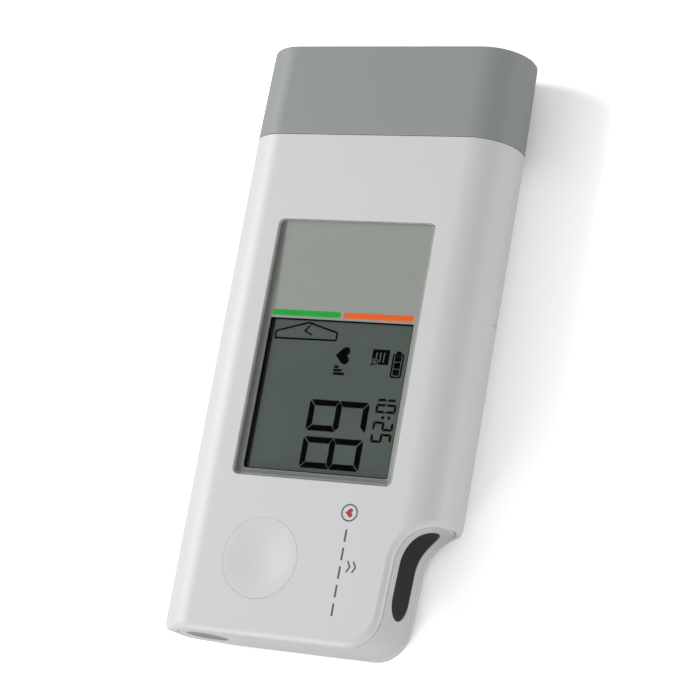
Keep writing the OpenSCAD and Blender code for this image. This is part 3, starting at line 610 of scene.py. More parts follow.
def rearRoll(a):
    # Back from the unrolled length to x and the height above the section: flat, back arc,
    # side arc, and past sideLength straight up
    run = np.abs(a)
    onBack = np.clip(run - backX, 0, backR * backTurn)
    onSide = np.clip(run - backX - backR * backTurn, 0, sideR * (math.pi / 2 - backTurn))
    x = np.minimum(run, backX) + backR * np.sin(onBack / backR)
    x = x + sideR * (np.sin(onSide / sideR + backTurn) - math.sin(backTurn))
    return np.sign(a) * x, np.maximum(run - sideLength, 0)


def arcPiece(centre, radius, start, stop, inward):
    # Centre + radius * (cos, sin) from start to stop degrees; inward is +1 when the body
    # lies towards the centre.
    length = abs(math.radians(stop - start)) * radius

    def at(s):
        angle = np.radians(start + (stop - start) * s / length)
        ray = np.stack([np.cos(angle), np.sin(angle)], -1)
        return centre + radius * ray, -inward * ray
    return length, at


def linePiece(start, stop, inward):
    start, stop = np.array(start, float), np.array(stop, float)
    length = float(np.linalg.norm(stop - start))

    def at(s):
        share = s[:, None] / length
        return start + (stop - start) * share, np.broadcast_to(np.array(inward, float), (len(s), 2))
    return length, at


def outlinePieces():
    # The body's cut outline from the left side round the lower end to the right side:
    # corner arc, lower end, grip corner, grip wall, recess, lip.
    corner, grip = casing["leftCorner"], casing["gripCorner"]
    touch = math.degrees(math.atan2(lipCentre[1] - recess[1], lipCentre[0] - recess[0]))
    across = np.array([math.cos(lean), -math.sin(lean)])
    return [
        arcPiece(np.array([corner - halfW, lowY + corner]), corner, 180, 270, 1),
        linePiece((corner - halfW, lowY), (gripX - grip, lowY), (0, 1)),
        arcPiece(gripAt, grip, 270, 360 - casing["gripLean"], 1),
        linePiece(gripAt + grip * across, recess - casing["recessRadius"] * across, -across),
        arcPiece(recess, casing["recessRadius"], 180 - casing["gripLean"], touch, -1),
        arcPiece(lipCentre, casing["lipRadius"], touch - 180, 0, 1),
    ]


cutPieces = outlinePieces()
cutStarts = np.concatenate([[0], np.cumsum([length for length, _ in cutPieces])])
cutLength = cutStarts[-1]


def outlineAt(s):
    # Points and inward normals of the cut outline at the distances s along it.
    s = np.asarray(s, float)
    points, inward = np.zeros((len(s), 2)), np.zeros((len(s), 2))
    which = np.clip(np.searchsorted(cutStarts, s, "right") - 1, 0, len(cutPieces) - 1)
    for k, (length, at) in enumerate(cutPieces):
        pick = which == k
        if pick.any():
            points[pick], inward[pick] = at(s[pick] - cutStarts[k])
    return points, inward


denseS = np.linspace(0, cutLength, 20001)
denseX = outlineAt(denseS)[0][:, 0]


def outlineFromX(x, pieceLow, pieceHigh):
    # Distance along the outline at which it passes x, within the pieces given.
    inside = (denseS >= cutStarts[pieceLow]) & (denseS <= cutStarts[pieceHigh])
    return np.interp(x, denseX[inside], denseS[inside])


band = {
    "low": nodeBox("electrode_band")[0][2],
    "high": nodeBox("electrode_band")[1][2],
    "left": nodeBox("electrode_band")[0][0],
    "right": nodeBox("electrode_band")[1][0],
    "gap": 0.085,
    "thick": 1.3,
    "lip": 0.12,
}
bandR = (band["high"] - band["low"]) / 2
bandMid = band["low"] + bandR
bandLeft = band["left"] + bandR           # centres of the band's round ends
bandRight = band["right"] - bandR


def bandHalf(x, radius):
    # Half the band's height at x: r between the end centres, sqrt(r^2 - o^2) past them, and
    # -1 off the band.
    over = np.maximum(np.maximum(bandLeft - x, x - bandRight), 0)
    return np.where(over <= radius, np.sqrt(np.maximum(radius ** 2 - over ** 2, 0)), -1.0)


def outlineSamples(radius):
    # Where along the outline the walls have columns: round stretches every few degrees, and
    # closer towards the round ends of the band.
    parts = [np.linspace(cutStarts[k], cutStarts[k + 1], count + 1)
             for k, count in enumerate((8, 10, 14, 4, 14, 9))]
    turn = np.sin(np.linspace(0, math.pi / 2, 9))
    parts.append(outlineFromX(bandLeft - radius * turn, 0, 2))
    parts.append(outlineFromX(bandRight + radius * turn, 4, 6))
    fixed = np.concatenate(parts[-2:] + [cutStarts])
    every = np.unique(np.round(np.concatenate(parts), 6))
    nearest = np.abs(every[:, None] - fixed[None, :]).min(1)
    every = np.unique(np.round(np.concatenate([every[nearest > 0.3], fixed]), 6))
    return every[np.concatenate([[True], np.diff(every) > 0.02])]


# Mesh tools: a patch is (points, triangles, normals, edge values)


def gridPatch(points, normals, edge=None, wrap=False):
    # A grid of points (rows, columns, 3) as triangles, two to a cell.
    rows, columns = points.shape[:2]
    index = np.arange(rows * columns).reshape(rows, columns)
    if wrap:
        index = np.concatenate([index, index[:, :1]], 1)
    a, b, c, d = index[:-1, :-1], index[:-1, 1:], index[1:, 1:], index[1:, :-1]
    faces = np.concatenate([np.stack([a, b, c], -1).reshape(-1, 3),
                            np.stack([a, c, d], -1).reshape(-1, 3)])
    edge = np.zeros(points.shape[:2]) if edge is None else edge
    return points.reshape(-1, 3), faces, normals.reshape(-1, 3), edge.reshape(-1)


def insideLoop(points, loop):
    # Even-odd rule: an odd number of the loop's edges cross the ray towards +X.
    a, b = loop, np.roll(loop, -1, 0)
    x, y = points[:, :1], points[:, 1:]
    spans = (a[:, 1] > y) != (b[:, 1] > y)
    rise = np.where(b[:, 1] == a[:, 1], 1e-12, b[:, 1] - a[:, 1])
    cross = a[:, 0] + (y - a[:, 1]) * (b[:, 0] - a[:, 0]) / rise
    return (spans & (x < cross)).sum(1) % 2 == 1


def distanceToLoop(points, loop):
    a, b = loop, np.roll(loop, -1, 0)
    along = b - a
    share = ((points[:, None] - a) * along).sum(-1) / np.maximum((along ** 2).sum(-1), 1e-12)
    nearest = a + np.clip(share, 0, 1)[..., None] * along
    return np.linalg.norm(points[:, None] - nearest, axis=-1).min(1)


def fillLoops(outer, holes=(), extra=None, clear=0.35, lines=(), fine=None):
    # Flat triangles between an outer loop and its holes. 'lines' are loops that edges follow;
    # extra points stay at least 'clear' from every loop, fine ones a little off the lines.
    loops = [outer, *holes, *lines]
    points = np.concatenate(loops)
    edges, start = [], 0
    for loop in loops:
        n = len(loop)
        edges += [(start + k, start + (k + 1) % n) for k in range(n)]
        start += n
    if extra is not None:
        keep = insideLoop(extra, outer)
        for loop in loops:
            keep &= distanceToLoop(extra, loop) > clear
        points = np.concatenate([points, extra[keep]])
    if fine is not None:
        for loop in lines:
            fine = fine[distanceToLoop(fine, loop) > 0.05]
        points = np.concatenate([points, fine])
    made = delaunay_2d_cdt([Vector(p) for p in points], edges, [], 0, 1e-5)
    source = np.array([ids[0] if ids else -1 for ids in made[3]])
    flat = np.where(source[:, None] >= 0, points[source], np.array([tuple(v) for v in made[0]]))
    faces = np.array([list(f) for f in made[2]])
    centre = flat[faces].mean(1)
    keep = insideLoop(centre, outer)
    for hole in holes:
        keep &= ~insideLoop(centre, hole)
    return flat, faces[keep]


def joinPatches(patches):
    # One patch of several: points within 0.0001 mm become one, faces with no area go, and
    # every face is turned to agree with its normals.
    start, points, faces, normals, edge = 0, [], [], [], []
    for p, f, n, e in patches:
        points.append(p)
        faces.append(f + start)
        normals.append(n)
        edge.append(e)
        start += len(p)
    points, faces = np.concatenate(points), np.concatenate(faces)
    normals, edge = np.concatenate(normals), np.concatenate(edge)
    _, first, group = np.unique(np.round(points, 4), axis=0, return_index=True, return_inverse=True)
    group = group.reshape(-1)
    faces = group[faces]
    points, normals, edge = points[first], normals[first], edge[first]
    whole = ((faces[:, 0] != faces[:, 1]) & (faces[:, 1] != faces[:, 2]) & (faces[:, 2] != faces[:, 0]))
    faces = faces[whole]
    corner = points[faces]
    turned = np.cross(corner[:, 1] - corner[:, 0], corner[:, 2] - corner[:, 0])
    wrong = (turned * normals[faces].mean(1)).sum(-1) < 0
    faces[wrong] = faces[wrong][:, ::-1]
    used = np.unique(faces)
    fresh = np.zeros(len(points), int)
    fresh[used] = np.arange(len(used))
    return points[used], fresh[faces], normals[used], edge[used]


def unit(v):
    return v / np.maximum(np.linalg.norm(v, axis=-1, keepdims=True), 1e-12)


def closeShell(patch, thickness, lip, rimSteps=3):
    # A skin becomes a closed wall. At its border, b points out of the skin and n is its
    # normal: the rim is p - r(b + n) + r(b sin t + n cos t) for t from 0 to 90 degrees, then
    # straight to p - thickness * n; the inner skin is every point moved by -thickness * n.
    points, faces, normals, edge = patch
    count = len(points)
    start, stop = faces.reshape(-1), np.roll(faces, -1, 1).reshape(-1)
    free = ~np.isin(stop * count + start, start * count + stop)
    start, stop = start[free], stop[free]
    border = np.unique(start)
    m = len(border)
    slot = np.full(count, -1)
    slot[border] = np.arange(m)
    side = unit(np.cross(points[stop] - points[start], (normals[start] + normals[stop]) / 2))
    out = np.zeros((m, 3))
    np.add.at(out, slot[start], side)
    np.add.at(out, slot[stop], side)
    out = unit(out)
    miter = np.ones(m)
    np.minimum.at(miter, slot[start], (out[slot[start]] * side).sum(-1))
    reach = out / np.clip(miter, 0.5, 1)[:, None]
    p, n = points[border], normals[border]
    turns = np.linspace(0, math.pi / 2, rimSteps + 1)[1:]
    rows = [p - lip * (reach + n) + lip * (reach * math.sin(t) + n * math.cos(t)) for t in turns]
    rowNormals = [out * math.sin(t) + n * math.cos(t) for t in turns]
    outer = points.copy()
    outer[border] = p - lip * reach
    inner = points - thickness * normals
    allPoints = np.concatenate([outer, *rows, inner])
    allNormals = np.concatenate([normals, *rowNormals, -normals, out])
    innerStart = count + rimSteps * m
    rimNormalStart = innerStart + count
    a, b = slot[start], slot[stop]
    rings = [border] + [count + k * m + np.arange(m) for k in range(rimSteps)]
    rings.append(innerStart + border)
    ringNormals = rings[:-1] + [rimNormalStart + np.arange(m)]
    triangles, triangleNormals = [faces, faces[:, ::-1] + innerStart], [faces, faces[:, ::-1] + innerStart]
    for k in range(len(rings) - 1):
        for r, made in ((rings, triangles), (ringNormals, triangleNormals)):
            upA, upB, downA, downB = r[k][a], r[k][b], r[k + 1][a], r[k + 1][b]
            made.append(np.stack([upB, upA, downA], -1))
            made.append(np.stack([upB, downA, downB], -1))
    # Edge values: sin 2t over the rim; on plastics they bring in the edge colour, wear and a painted
    # highlight, and on the pane more reflection
    edgeShare = np.concatenate([edge] + [np.full(m, v) for v in np.sin(2 * turns)] + [np.zeros(count)])
    return (allPoints, np.concatenate(triangles), allNormals[np.concatenate(triangleNormals)], edgeShare)


def addPiece(name, shape, material, body, replaces=()):
    # shape is (points in mm, triangles, a normal for each triangle's corners, edge values).
    points, faces, cornerNormals, edge = shape
    mesh = bpy.data.meshes.new(name)
    mesh.from_pydata((points * mm).tolist(), [], faces.tolist())
    mesh.polygons.foreach_set("use_smooth", np.ones(len(faces), bool))
    attribute = mesh.attributes.new("edge", "FLOAT", "POINT")
    attribute.data.foreach_set("value", edge.astype(np.float32))
    mesh.normals_split_custom_set(unit(cornerNormals).reshape(-1, 3).tolist())
    mesh.materials.append(materials[material])
    piece = bpy.data.objects.new(name, mesh)
    bpy.context.scene.collection.objects.link(piece)
    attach(piece, body)
    if replaces:
        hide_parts(*replaces)
    print(name, len(faces), "triangles", np.round(points.min(0), 2), np.round(points.max(0), 2))
    return piece


def ringLoop(centre, radius, count):
    angle = np.arange(count) * 2 * math.pi / count
    return np.array(centre) + radius * np.stack([np.cos(angle), np.sin(angle)], -1)


def roundedLoop(low, high, radius, steps=6):
    # A rectangle with round corners, counter-clockwise.
    angle = np.linspace(0, math.pi / 2, steps + 1)
    parts = []
    for k, (x, y) in enumerate(((1, 1), (0, 1), (0, 0), (1, 0))):
        centre = np.array([(low[0] + radius, high[0] - radius)[x], (low[1] + radius, high[1] - radius)[y]])
        parts.append(centre + radius * np.stack([np.cos(angle + k * math.pi / 2),
                                                 np.sin(angle + k * math.pi / 2)], -1))
    return np.concatenate(parts)


def lattice(xs, ys):
    gx, gy = np.meshgrid(xs, ys)
    return np.stack([gx.ravel(), gy.ravel()], -1)


# Casing

windowLow, windowHigh = nodeBox("display_lens")
lcdHigh = nodeBox("lcd_glass")[1]
keyLow, keyHigh = nodeBox("function_key")
keyCentre = (keyLow[:2] + keyHigh[:2]) / 2
key = {"radius": 8.0, "dish": 0.5, "gap": 0.008, "thick": 1.2, "lip": 0.012}


def flatten(points):
    return np.concatenate([points, np.zeros((len(points), 1))], 1)


def cutEdge(s, section, side, limit, width, height, turn=90.0):
    # The shaped edge along the cut outline and the wall under it. side is +1 for the display
    # side and -1 for the back. With t from 0 to 'turn' = T the edge is
    # cut + inward * width * (1 - cos t) / (1 - cos T), at the section's height
    # - side * height * (1 - sin t / sin T); the wall runs from t = 0 to the height 'limit'.
    cut, inward = outlineAt(s)
    inward = flatten(inward)
    last = math.radians(turn)
    t = np.linspace(0, last, 8)[:, None]
    cosShare, sinShare = 1 - math.cos(last), math.sin(last)
    inset = width * (1 - np.cos(t)) / cosShare
    drop = height * (1 - np.sin(t) / sinShare)
    if turn < 90:                                  # one more row, level with the face
        inset, drop = np.vstack([inset, inset[-1:] + 0.07]), np.vstack([drop, drop[-1:]])
    strip = flatten(cut) + inward * inset[..., None]
    z, up = section(strip[..., 0])
    strip[..., 2] = z - side * drop
    t = np.vstack([t, [[math.pi / 2]]]) if turn < 90 else t
    sinT, cosT = np.sin(t)[..., None] / cosShare, np.cos(t)[..., None] / sinShare
    steep = np.maximum(np.abs(up[..., 2:]), 1e-3)
    slope = (height / np.maximum(width, 1e-6))[..., None]
    tilt = steep * (side * sinT * np.array([0, 0, 1.0]) - slope * cosT * inward)
    normals = unit(up[..., :1] * sinT * np.array([1.0, 0, 0]) + tilt)
    # Edge values over the shaped edge, at half strength: on plastics the edge colour, wear and a painted
    # highlight
    edge = np.broadcast_to(np.sin(2 * np.minimum(t, math.pi / 2)) * 0.5, strip.shape[:2])
    foot = strip[0].copy()
    foot[:, 2] = np.minimum(limit, foot[:, 2]) if side > 0 else np.maximum(limit, foot[:, 2])
    wall = np.stack([foot, strip[0]])
    wallNormals = np.stack([unit(-inward)] * 2)
    return strip, [gridPatch(strip, normals, edge), gridPatch(wall, wallNormals)]


def frontRoom(s):
    # Where the display side's wall ends, and how large its edge is: less towards the long
    # sides, where the wall runs out
    x = outlineAt(s)[0][:, 0]
    half = bandHalf(x, bandR + band["gap"])
    limit = np.where(half >= 0, np.maximum(bandMid + half, seamZ), seamZ)
    room = frontSection(x)[0] - limit
    share = 1 - (1 - np.clip((frontSection(x)[0] - seamZ) / 6, 0, 1)) ** 2
    share = np.where(share < 0.001, 0, share)
    height = np.minimum(casing["frontEdge"][1] * share, 0.95 * room)
    return limit, casing["frontEdge"][0] * share, np.maximum(height, 0)


def rearRoom(s):
    # The same for the back: the edge is an ellipse, and its height is what is left up to the
    # band's lower line; it fades at the outline's ends
    x = outlineAt(s)[0][:, 0]
    half = bandHalf(x, bandR + band["gap"])
    seam = seamZ - casing["seamGap"]
    limit = np.where(half >= 0, np.minimum(bandMid - half, seam), seam)
    z = rearSection(x)[0]
    height = np.minimum(np.maximum(casing["rearEdgeHeight"] - z, 0.9), 0.45 * (limit - z))
    height = height * ease(np.minimum(s, cutLength - s) / 1.2)
    return limit, np.maximum(height, 0)


rowPitch = 2.4
rowYs = lowY + 1.2 + rowPitch * np.arange(60)      # every skin has its rows here


def outlineToSeam(strip, top, columns, unroll):
    # Closes a skin unrolled to (length along the section, y): the edge strip's inner row, up
    # the right side, along the seam at 'top' through every column, and down the left side
    ys = rowYs[rowYs < top - 0.6]
    rightYs = ys[ys > strip[-1, -1, 1] + 0.6]
    leftYs = ys[ys > strip[-1, 0, 1] + 0.6][::-1]
    inner = np.stack([unroll(strip[-1][:, 0]), strip[-1][:, 1]], -1)
    if columns[-1] - inner[-1, 0] > 1e-6:          # the upright part of the side
        rightYs = np.concatenate([inner[-1:, 1], rightYs])
        leftYs = np.concatenate([leftYs, inner[:1, 1]])
    xs = np.concatenate([columns[::-1], -columns[columns > 0]])
    return np.concatenate([inner, np.stack([np.full(len(rightYs), columns[-1]), rightYs], -1),
                           np.stack([xs, np.full(len(xs), top)], -1),
                           np.stack([np.full(len(leftYs), -columns[-1]), leftYs], -1)])


def slab(loop, z, thickness, holes=(), lip=0.05, rimSteps=1, up=1.0):
    # A flat plate with softened upper edges, hanging down from z (up = -1: standing on z).
    flat, faces = fillLoops(loop, holes)
    points = np.column_stack([flat, np.full(len(flat), z)])
    normals = np.broadcast_to(np.array([0, 0, up]), points.shape)
    return closeShell(joinPatches([(points, faces, normals, np.zeros(len(flat)))]), thickness, lip, rimSteps)


def looseShape(patches):
    # Patches that share only sharp edges as one closed mesh, each face with its patch's normals
    joined = joinPatches(patches)
    corners = np.concatenate([n[f] for _, f, n, _ in patches])
    centres = np.concatenate([p[f].mean(1) for p, f, _, _ in patches])
    order = {tuple(np.round(c, 4)): k for k, c in enumerate(centres)}
    pick = np.array([order[tuple(np.round(joined[0][f].mean(0), 4))] for f in joined[1]])
    return joined[0], joined[1], corners[pick], joined[3]


def mergeShapes(shapes):
    # Several closed shapes as one mesh.
    starts = np.cumsum([0] + [len(shape[0]) for shape in shapes[:-1]])
    return (np.concatenate([shape[0] for shape in shapes]),
            np.concatenate([shape[1] + start for shape, start in zip(shapes, starts)]),
            np.concatenate([shape[2] for shape in shapes]),
            np.concatenate([shape[3] for shape in shapes]))


def frontShell():
    s = outlineSamples(bandR + band["gap"])
    limit, width, height = frontRoom(s)
    strip, patches = cutEdge(s, frontSection, 1, limit, width, height, casing["frontEdgeTurn"])
    columns = flatHalf + frontR * np.linspace(0, math.pi / 2, 15)
    gap = casing["windowGap"]
    window = roundedLoop(windowLow[:2] - gap, windowHigh[:2] + gap, 1.2 + gap)
    keyHole = ringLoop(keyCentre, key["radius"] + key["gap"], 120)
    extra = np.concatenate([lattice(columns[:-1], rowYs), lattice(-columns[:-1], rowYs)])
    flat, faces = fillLoops(outlineToSeam(strip, capY, columns, frontUnroll), [window, keyHole], extra)
    flat[:, 0] = frontRoll(flat[:, 0])
    z, up = frontSection(flat[:, 0])
    patches.append((np.column_stack([flat, z]), faces, up, np.zeros(len(flat))))
    skin = closeShell(joinPatches(patches), casing["wall"], casing["lip"])
    ledgeTop = nodeBox("display_mask")[0][2]
    ledge = slab(roundedLoop(windowLow[:2] - 1, windowHigh[:2] + 1, 2), ledgeTop, 0.5,
                 [roundedLoop(windowLow[:2] + 1.3, windowHigh[:2] - 1.3, 1.2)])
    return mergeShapes([skin, ledge])


def roundBoxDistance(points, centre, half, radius):
    # Signed distance to a round-cornered rectangle, negative inside.
    q = np.abs(points - centre) - (np.array(half) - radius)
    return np.linalg.norm(np.maximum(q, 0), axis=-1) + np.minimum(q.max(-1), 0) - radius


def ease(t):
    t = np.clip(t, 0, 1)
    return t * t * (3 - 2 * t)


def liftRear(flat, relief):
    # The back's height plus a relief(points), with the normal from its slope by small steps.
    flat[:, 0], rise = rearRoll(flat[:, 0])
    z, up = rearSection(flat[:, 0])
    z = z + rise
    h = 0.001
    slope = np.stack([(relief(flat + d) - relief(flat - d)) / (2 * h)
                      for d in (np.array([h, 0]), np.array([0, h]))], -1)
    return np.column_stack([flat, z + relief(flat)]), unit(up + flatten(slope))


def rearColumns():
    back = backX + backR * np.linspace(0, backTurn, 8)
    side = back[-1] + sideR * np.linspace(0, math.pi / 2 - backTurn, 11)[1:]
    return np.concatenate([[0, backX / 2], back, side, [sideLength + casing["sideWall"] - casing["seamGap"]]])


label = {"clear": 0.15, "ramp": 0.3, "depth": 0.22}
labelLow, labelHigh = nodeBox("rating_label")
screwLow, screwHigh = nodeBox("case_screws")
screwHole = {"radius": 2.2, "x": screwHigh[0] - 1.9, "y": (screwLow[1] + screwHigh[1]) / 2}


def rearShell():
    # Upper part of the back: the label lies in a pocket, two screws are sunk in round holes.
    columns = rearColumns()
    xs = np.concatenate([columns[::-1], -columns[1:]])
    ys = rowYs[(rowYs > splitY + 0.6) & (rowYs < capY - 0.6)]
    outer = np.concatenate([
        np.stack([-xs, np.full(len(xs), splitY)], -1), np.stack([np.full(len(ys), xs[0]), ys], -1),
        np.stack([xs, np.full(len(xs), capY)], -1), np.stack([np.full(len(ys), -xs[0]), ys[::-1]], -1)])
    centre = (labelLow[:2] + labelHigh[:2]) / 2
    half = (labelHigh[:2] - labelLow[:2]) / 2 + label["clear"] + label["ramp"]

    def pocket(p):
        return label["depth"] * ease(-roundBoxDistance(p, centre, half, 1.0) / label["ramp"])
    rings = [roundedLoop(centre - half + d, centre + half - d, 1.0 - d)
             for d in label["ramp"] * np.linspace(0, 1, 5)]
    holes = [ringLoop((side * screwHole["x"], screwHole["y"]), screwHole["radius"], 48) for side in (-1, 1)]
    for hole in holes:
        hole[:, 0] = rearUnroll(hole[:, 0])
    extra = lattice(xs[1:-1], ys)
    flat, faces = fillLoops(outer, holes, extra, lines=rings)
    points, normals = liftRear(flat, pocket)
    return closeShell(joinPatches([(points, faces, normals, np.zeros(len(flat)))]), 1.2, casing["lip"])


grip = {"y": -3.5, "half": (9.0, 5.0), "round": 4.9, "depth": 0.75, "ramp": 2.4,
        "ribs": 5, "ribPitch": 1.5, "ribHeight": 0.3}
tongue = {"x": 14.5, "width": 3.8, "z": 2.4, "thick": 1.0, "root": 6.0}


def batteryDoor():
    # Lower part of the back, with a ribbed thumb dish and two tongues.
    top = splitY - casing["seamGap"]
    s = outlineSamples(bandR + band["gap"])
    limit, height = rearRoom(s)
    width = casing["rearEdgeWidth"] * np.minimum(height / 1.5, 1)
    strip, patches = cutEdge(s, rearSection, -1, limit, width, height)
    strip[..., 2] = np.minimum(strip[..., 2], seamZ - casing["seamGap"])
    for patch in patches:
        patch[0][:, 2] = np.minimum(patch[0][:, 2], seamZ - casing["seamGap"])
    columns = rearColumns()
    centre = np.array([0, grip["y"]])

    def dish(p):
        inside = -roundBoxDistance(p, centre, grip["half"], grip["round"])
        along = (p[..., 1] - grip["y"]) / grip["ribPitch"]
        rib = np.cos(math.pi * along) ** 6 * (np.abs(along) < grip["ribs"] / 2)
        rib = rib * ease((inside - 0.8) / 0.8)
        return np.maximum(grip["depth"] * ease(inside / grip["ramp"]) - grip["ribHeight"] * rib, 0)
    half = np.array(grip["half"])
    rings = [roundedLoop(centre - half + d, centre + half - d, grip["round"] - d, 10)
             for d in (0, 0.6, 1.2, 1.8)]
    fine = lattice(np.arange(-9, 9.1, 0.5), np.arange(grip["y"] - 5, grip["y"] + 5, 0.15))
    fine = fine[roundBoxDistance(fine, centre, grip["half"], grip["round"]) < -1.0]
    xs = np.concatenate([columns[:-1], -columns[1:-1]])
    coarse = lattice(xs, rowYs)
    coarse = coarse[roundBoxDistance(coarse, centre, grip["half"], grip["round"]) > 0.4]
    outer = outlineToSeam(strip, top, columns, rearUnroll)
    flat, faces = fillLoops(outer, [], coarse, lines=rings, fine=fine)
    points, normals = liftRear(flat, dish)
    patches.append((points, faces, normals, np.zeros(len(flat))))
    skin = closeShell(joinPatches(patches), 0.85, casing["lip"])
    shapes = [skin]
    for side in (-1, 1):
        low = np.array([side * tongue["x"] - tongue["width"] / 2, top - tongue["root"]])
        high = np.array([side * tongue["x"] + tongue["width"] / 2, splitY + 3])
        shapes.append(slab(roundedLoop(low, high, 0.5), tongue["z"] + tongue["thick"],
                           tongue["thick"], lip=0.15))
        rootHigh = np.array([high[0], top - 1.7])
        shapes.append(slab(roundedLoop(low, rootHigh, 0.3), tongue["z"], tongue["z"] - 1.0))
    return mergeShapes(shapes)


cap = {"endEdge": 0.55, "draft": 0.35, "wall": 1.45, "lip": 0.14}
capBox = nodeBox("cap")


def sectionLoop():
    # The cross-section as one closed loop of (x, z) points with their normals.
    right = np.concatenate([backX * np.linspace(0, 1, 3)[:-1],
                            backX + backR * np.sin(np.linspace(0, backTurn, 8)[:-1])])
    z, n = rearSection(right)
    rear = np.column_stack([right, z]), n[:, [0, 2]]
    angle = np.linspace(backTurn - math.pi / 2, 0, 11)
    ray = np.stack([np.cos(angle), np.sin(angle)], -1)
    side = np.array([sideX, sideZ]) + sideR * ray, ray
    angle = np.linspace(0, math.pi / 2, 17)
    ray = np.stack([np.cos(angle), np.sin(angle)], -1)
    front = np.array([flatHalf, seamZ]) + frontR * ray, ray
    points = np.concatenate([rear[0], side[0], front[0]])
    normals = np.concatenate([rear[1], side[1], front[1]])
    flip = np.array([-1, 1])
    back = slice(None, 0, -1)
    return (np.concatenate([points, points[back] * flip]), np.concatenate([normals, normals[back] * flip]))


def capShell():
    # The cross-section carried along Y: it narrows evenly, and its end is rounded by moving
    # the loop in by e(1 - cos t) while y goes on by e sin t.
    loop, out = sectionLoop()
    y0, y1, e = capBox[0][1], capBox[1][1], cap["endEdge"]
    t = np.concatenate([np.zeros(7), np.linspace(0, math.pi / 2, 7)[1:]])
    y = np.concatenate([np.linspace(y0, y1 - e, 7), y1 - e + e * np.sin(t[7:])])
    narrow = 1 - cap["draft"] / halfW * (y - y0) / (y1 - y0)
    flat = loop - out * (e * (1 - np.cos(t)))[:, None, None]
    rows = np.stack([flat[..., 0] * narrow[:, None], np.broadcast_to(y[:, None], flat.shape[:2]),
                     flat[..., 1]], -1)
    side = np.cos(t)[:, None]
    normals = np.stack([out[:, 0] * side, np.broadcast_to(np.sin(t)[:, None], rows.shape[:2]),
                        out[:, 1] * side], -1)
    # Edge values over the end's rounding: on the cap the edge colour, wear and a painted highlight
    edge = np.broadcast_to(np.sin(2 * t)[:, None] * 0.7, rows.shape[:2])
    end, faces = fillLoops(rows[-1][:, [0, 2]])
    endPoints = np.column_stack([end[:, 0], np.full(len(end), y[-1]), end[:, 1]])
    endNormals = np.broadcast_to(np.array([0, 1.0, 0]), endPoints.shape)
    return closeShell(joinPatches([gridPatch(rows, normals, edge, wrap=True),
                                   (endPoints, faces, endNormals, np.zeros(len(end)))]),
                      cap["wall"], cap["lip"])


def functionKey():
    # A round dish that starts level at its edge: z = face - dish (1 - (r/R)^2)^2
    radius = key["radius"] * np.concatenate([np.linspace(0, 0.97, 17), [1]])
    angle = np.arange(120) * math.pi / 60
    r = np.broadcast_to(radius[:, None], (len(radius), len(angle)))
    fall = 1 - (r / key["radius"]) ** 2
    slope = 4 * key["dish"] * r * fall / key["radius"] ** 2
    ray = np.stack([np.cos(angle), np.sin(angle)], -1)
    plan = keyCentre + r[..., None] * ray
    z = faceZ - key["dish"] * fall ** 2
    normals = unit(np.concatenate([-slope[..., None] * ray, np.ones(r.shape + (1,))], -1))
    patch = gridPatch(np.concatenate([plan, z[..., None]], -1), normals, wrap=True)
    return closeShell(joinPatches([patch]), key["thick"], key["lip"])


addPiece("frontShell", frontShell(), "whitePlastic", "casing", ["front_shell"])
addPiece("rearShell", rearShell(), "whitePlastic", "casing", ["rear_shell"])
addPiece("batteryDoor", batteryDoor(), "whitePlastic", "battery_door", ["battery_door"])
addPiece("capShell", capShell(), "greyPlastic", "cap", ["cap"])
addPiece("functionKey", functionKey(), "whitePlastic", "key", ["function_key"])

# Electrodes

finger = {"gap": 0.04, "sink": 0.1, "thick": 0.8, "lip": 0.22}
fingerLow, fingerHigh = nodeBox("finger_electrode")
fingerR = (fingerHigh[2] - fingerLow[2]) / 2
chest = {"gap": 0.02, "sink": 0.1, "thick": 0.8, "lip": 0.12, "dish": 0.12, "ring": 0.01, "rings": 5}
chestLow, chestHigh = nodeBox("chest_electrode")
chestR = (chestHigh[0] - chestLow[0]) / 2
chestAt = ((chestLow + chestHigh) / 2)[[0, 2]]


def fingerLoop(radius):
    # The finger electrode's outline on the unrolled wall (distance s, height z): a half circle
    # on the grip wall and one that is round in x and z on the recess.
    wallLow = gripAt[1] - casing["gripCorner"] * math.sin(lean)
    low = cutStarts[3] + (fingerLow[1] + fingerR - wallLow) / math.cos(lean)
    tipX = fingerHigh[0] - fingerR
    angle = np.linspace(-math.pi / 2, math.pi / 2, 19)
    tip = np.stack([outlineFromX(tipX + radius * np.cos(angle), 4, 6), bandMid + radius * np.sin(angle)], -1)
    end = np.stack([low - radius * np.cos(angle), bandMid - radius * np.sin(angle)], -1)
    along = np.linspace(low, tip[0, 0], 18)[1:-1]
    under = np.stack([along, np.full(len(along), bandMid - radius)], -1)
    over = np.stack([along[::-1], np.full(len(along), bandMid + radius)], -1)
    return np.concatenate([under, tip, over, end])


def unrolled(outer, holes, depth, pitch=0.6):
    # Fills an outline on the unrolled wall and wraps it back, 'depth' under the wall.
    s = np.arange(outer[:, 0].min(), outer[:, 0].max(), pitch)
    extra = lattice(s, np.linspace(band["low"] + 1, band["high"] - 1, 6))
    flat, faces = fillLoops(outer, holes, extra, clear=0.3)
    cut, inward = outlineAt(flat[:, 0])
    inward = flatten(inward)
    points = flatten(cut) + inward * depth
    points[:, 2] = flat[:, 1]
    return points, faces, -inward, np.zeros(len(flat))


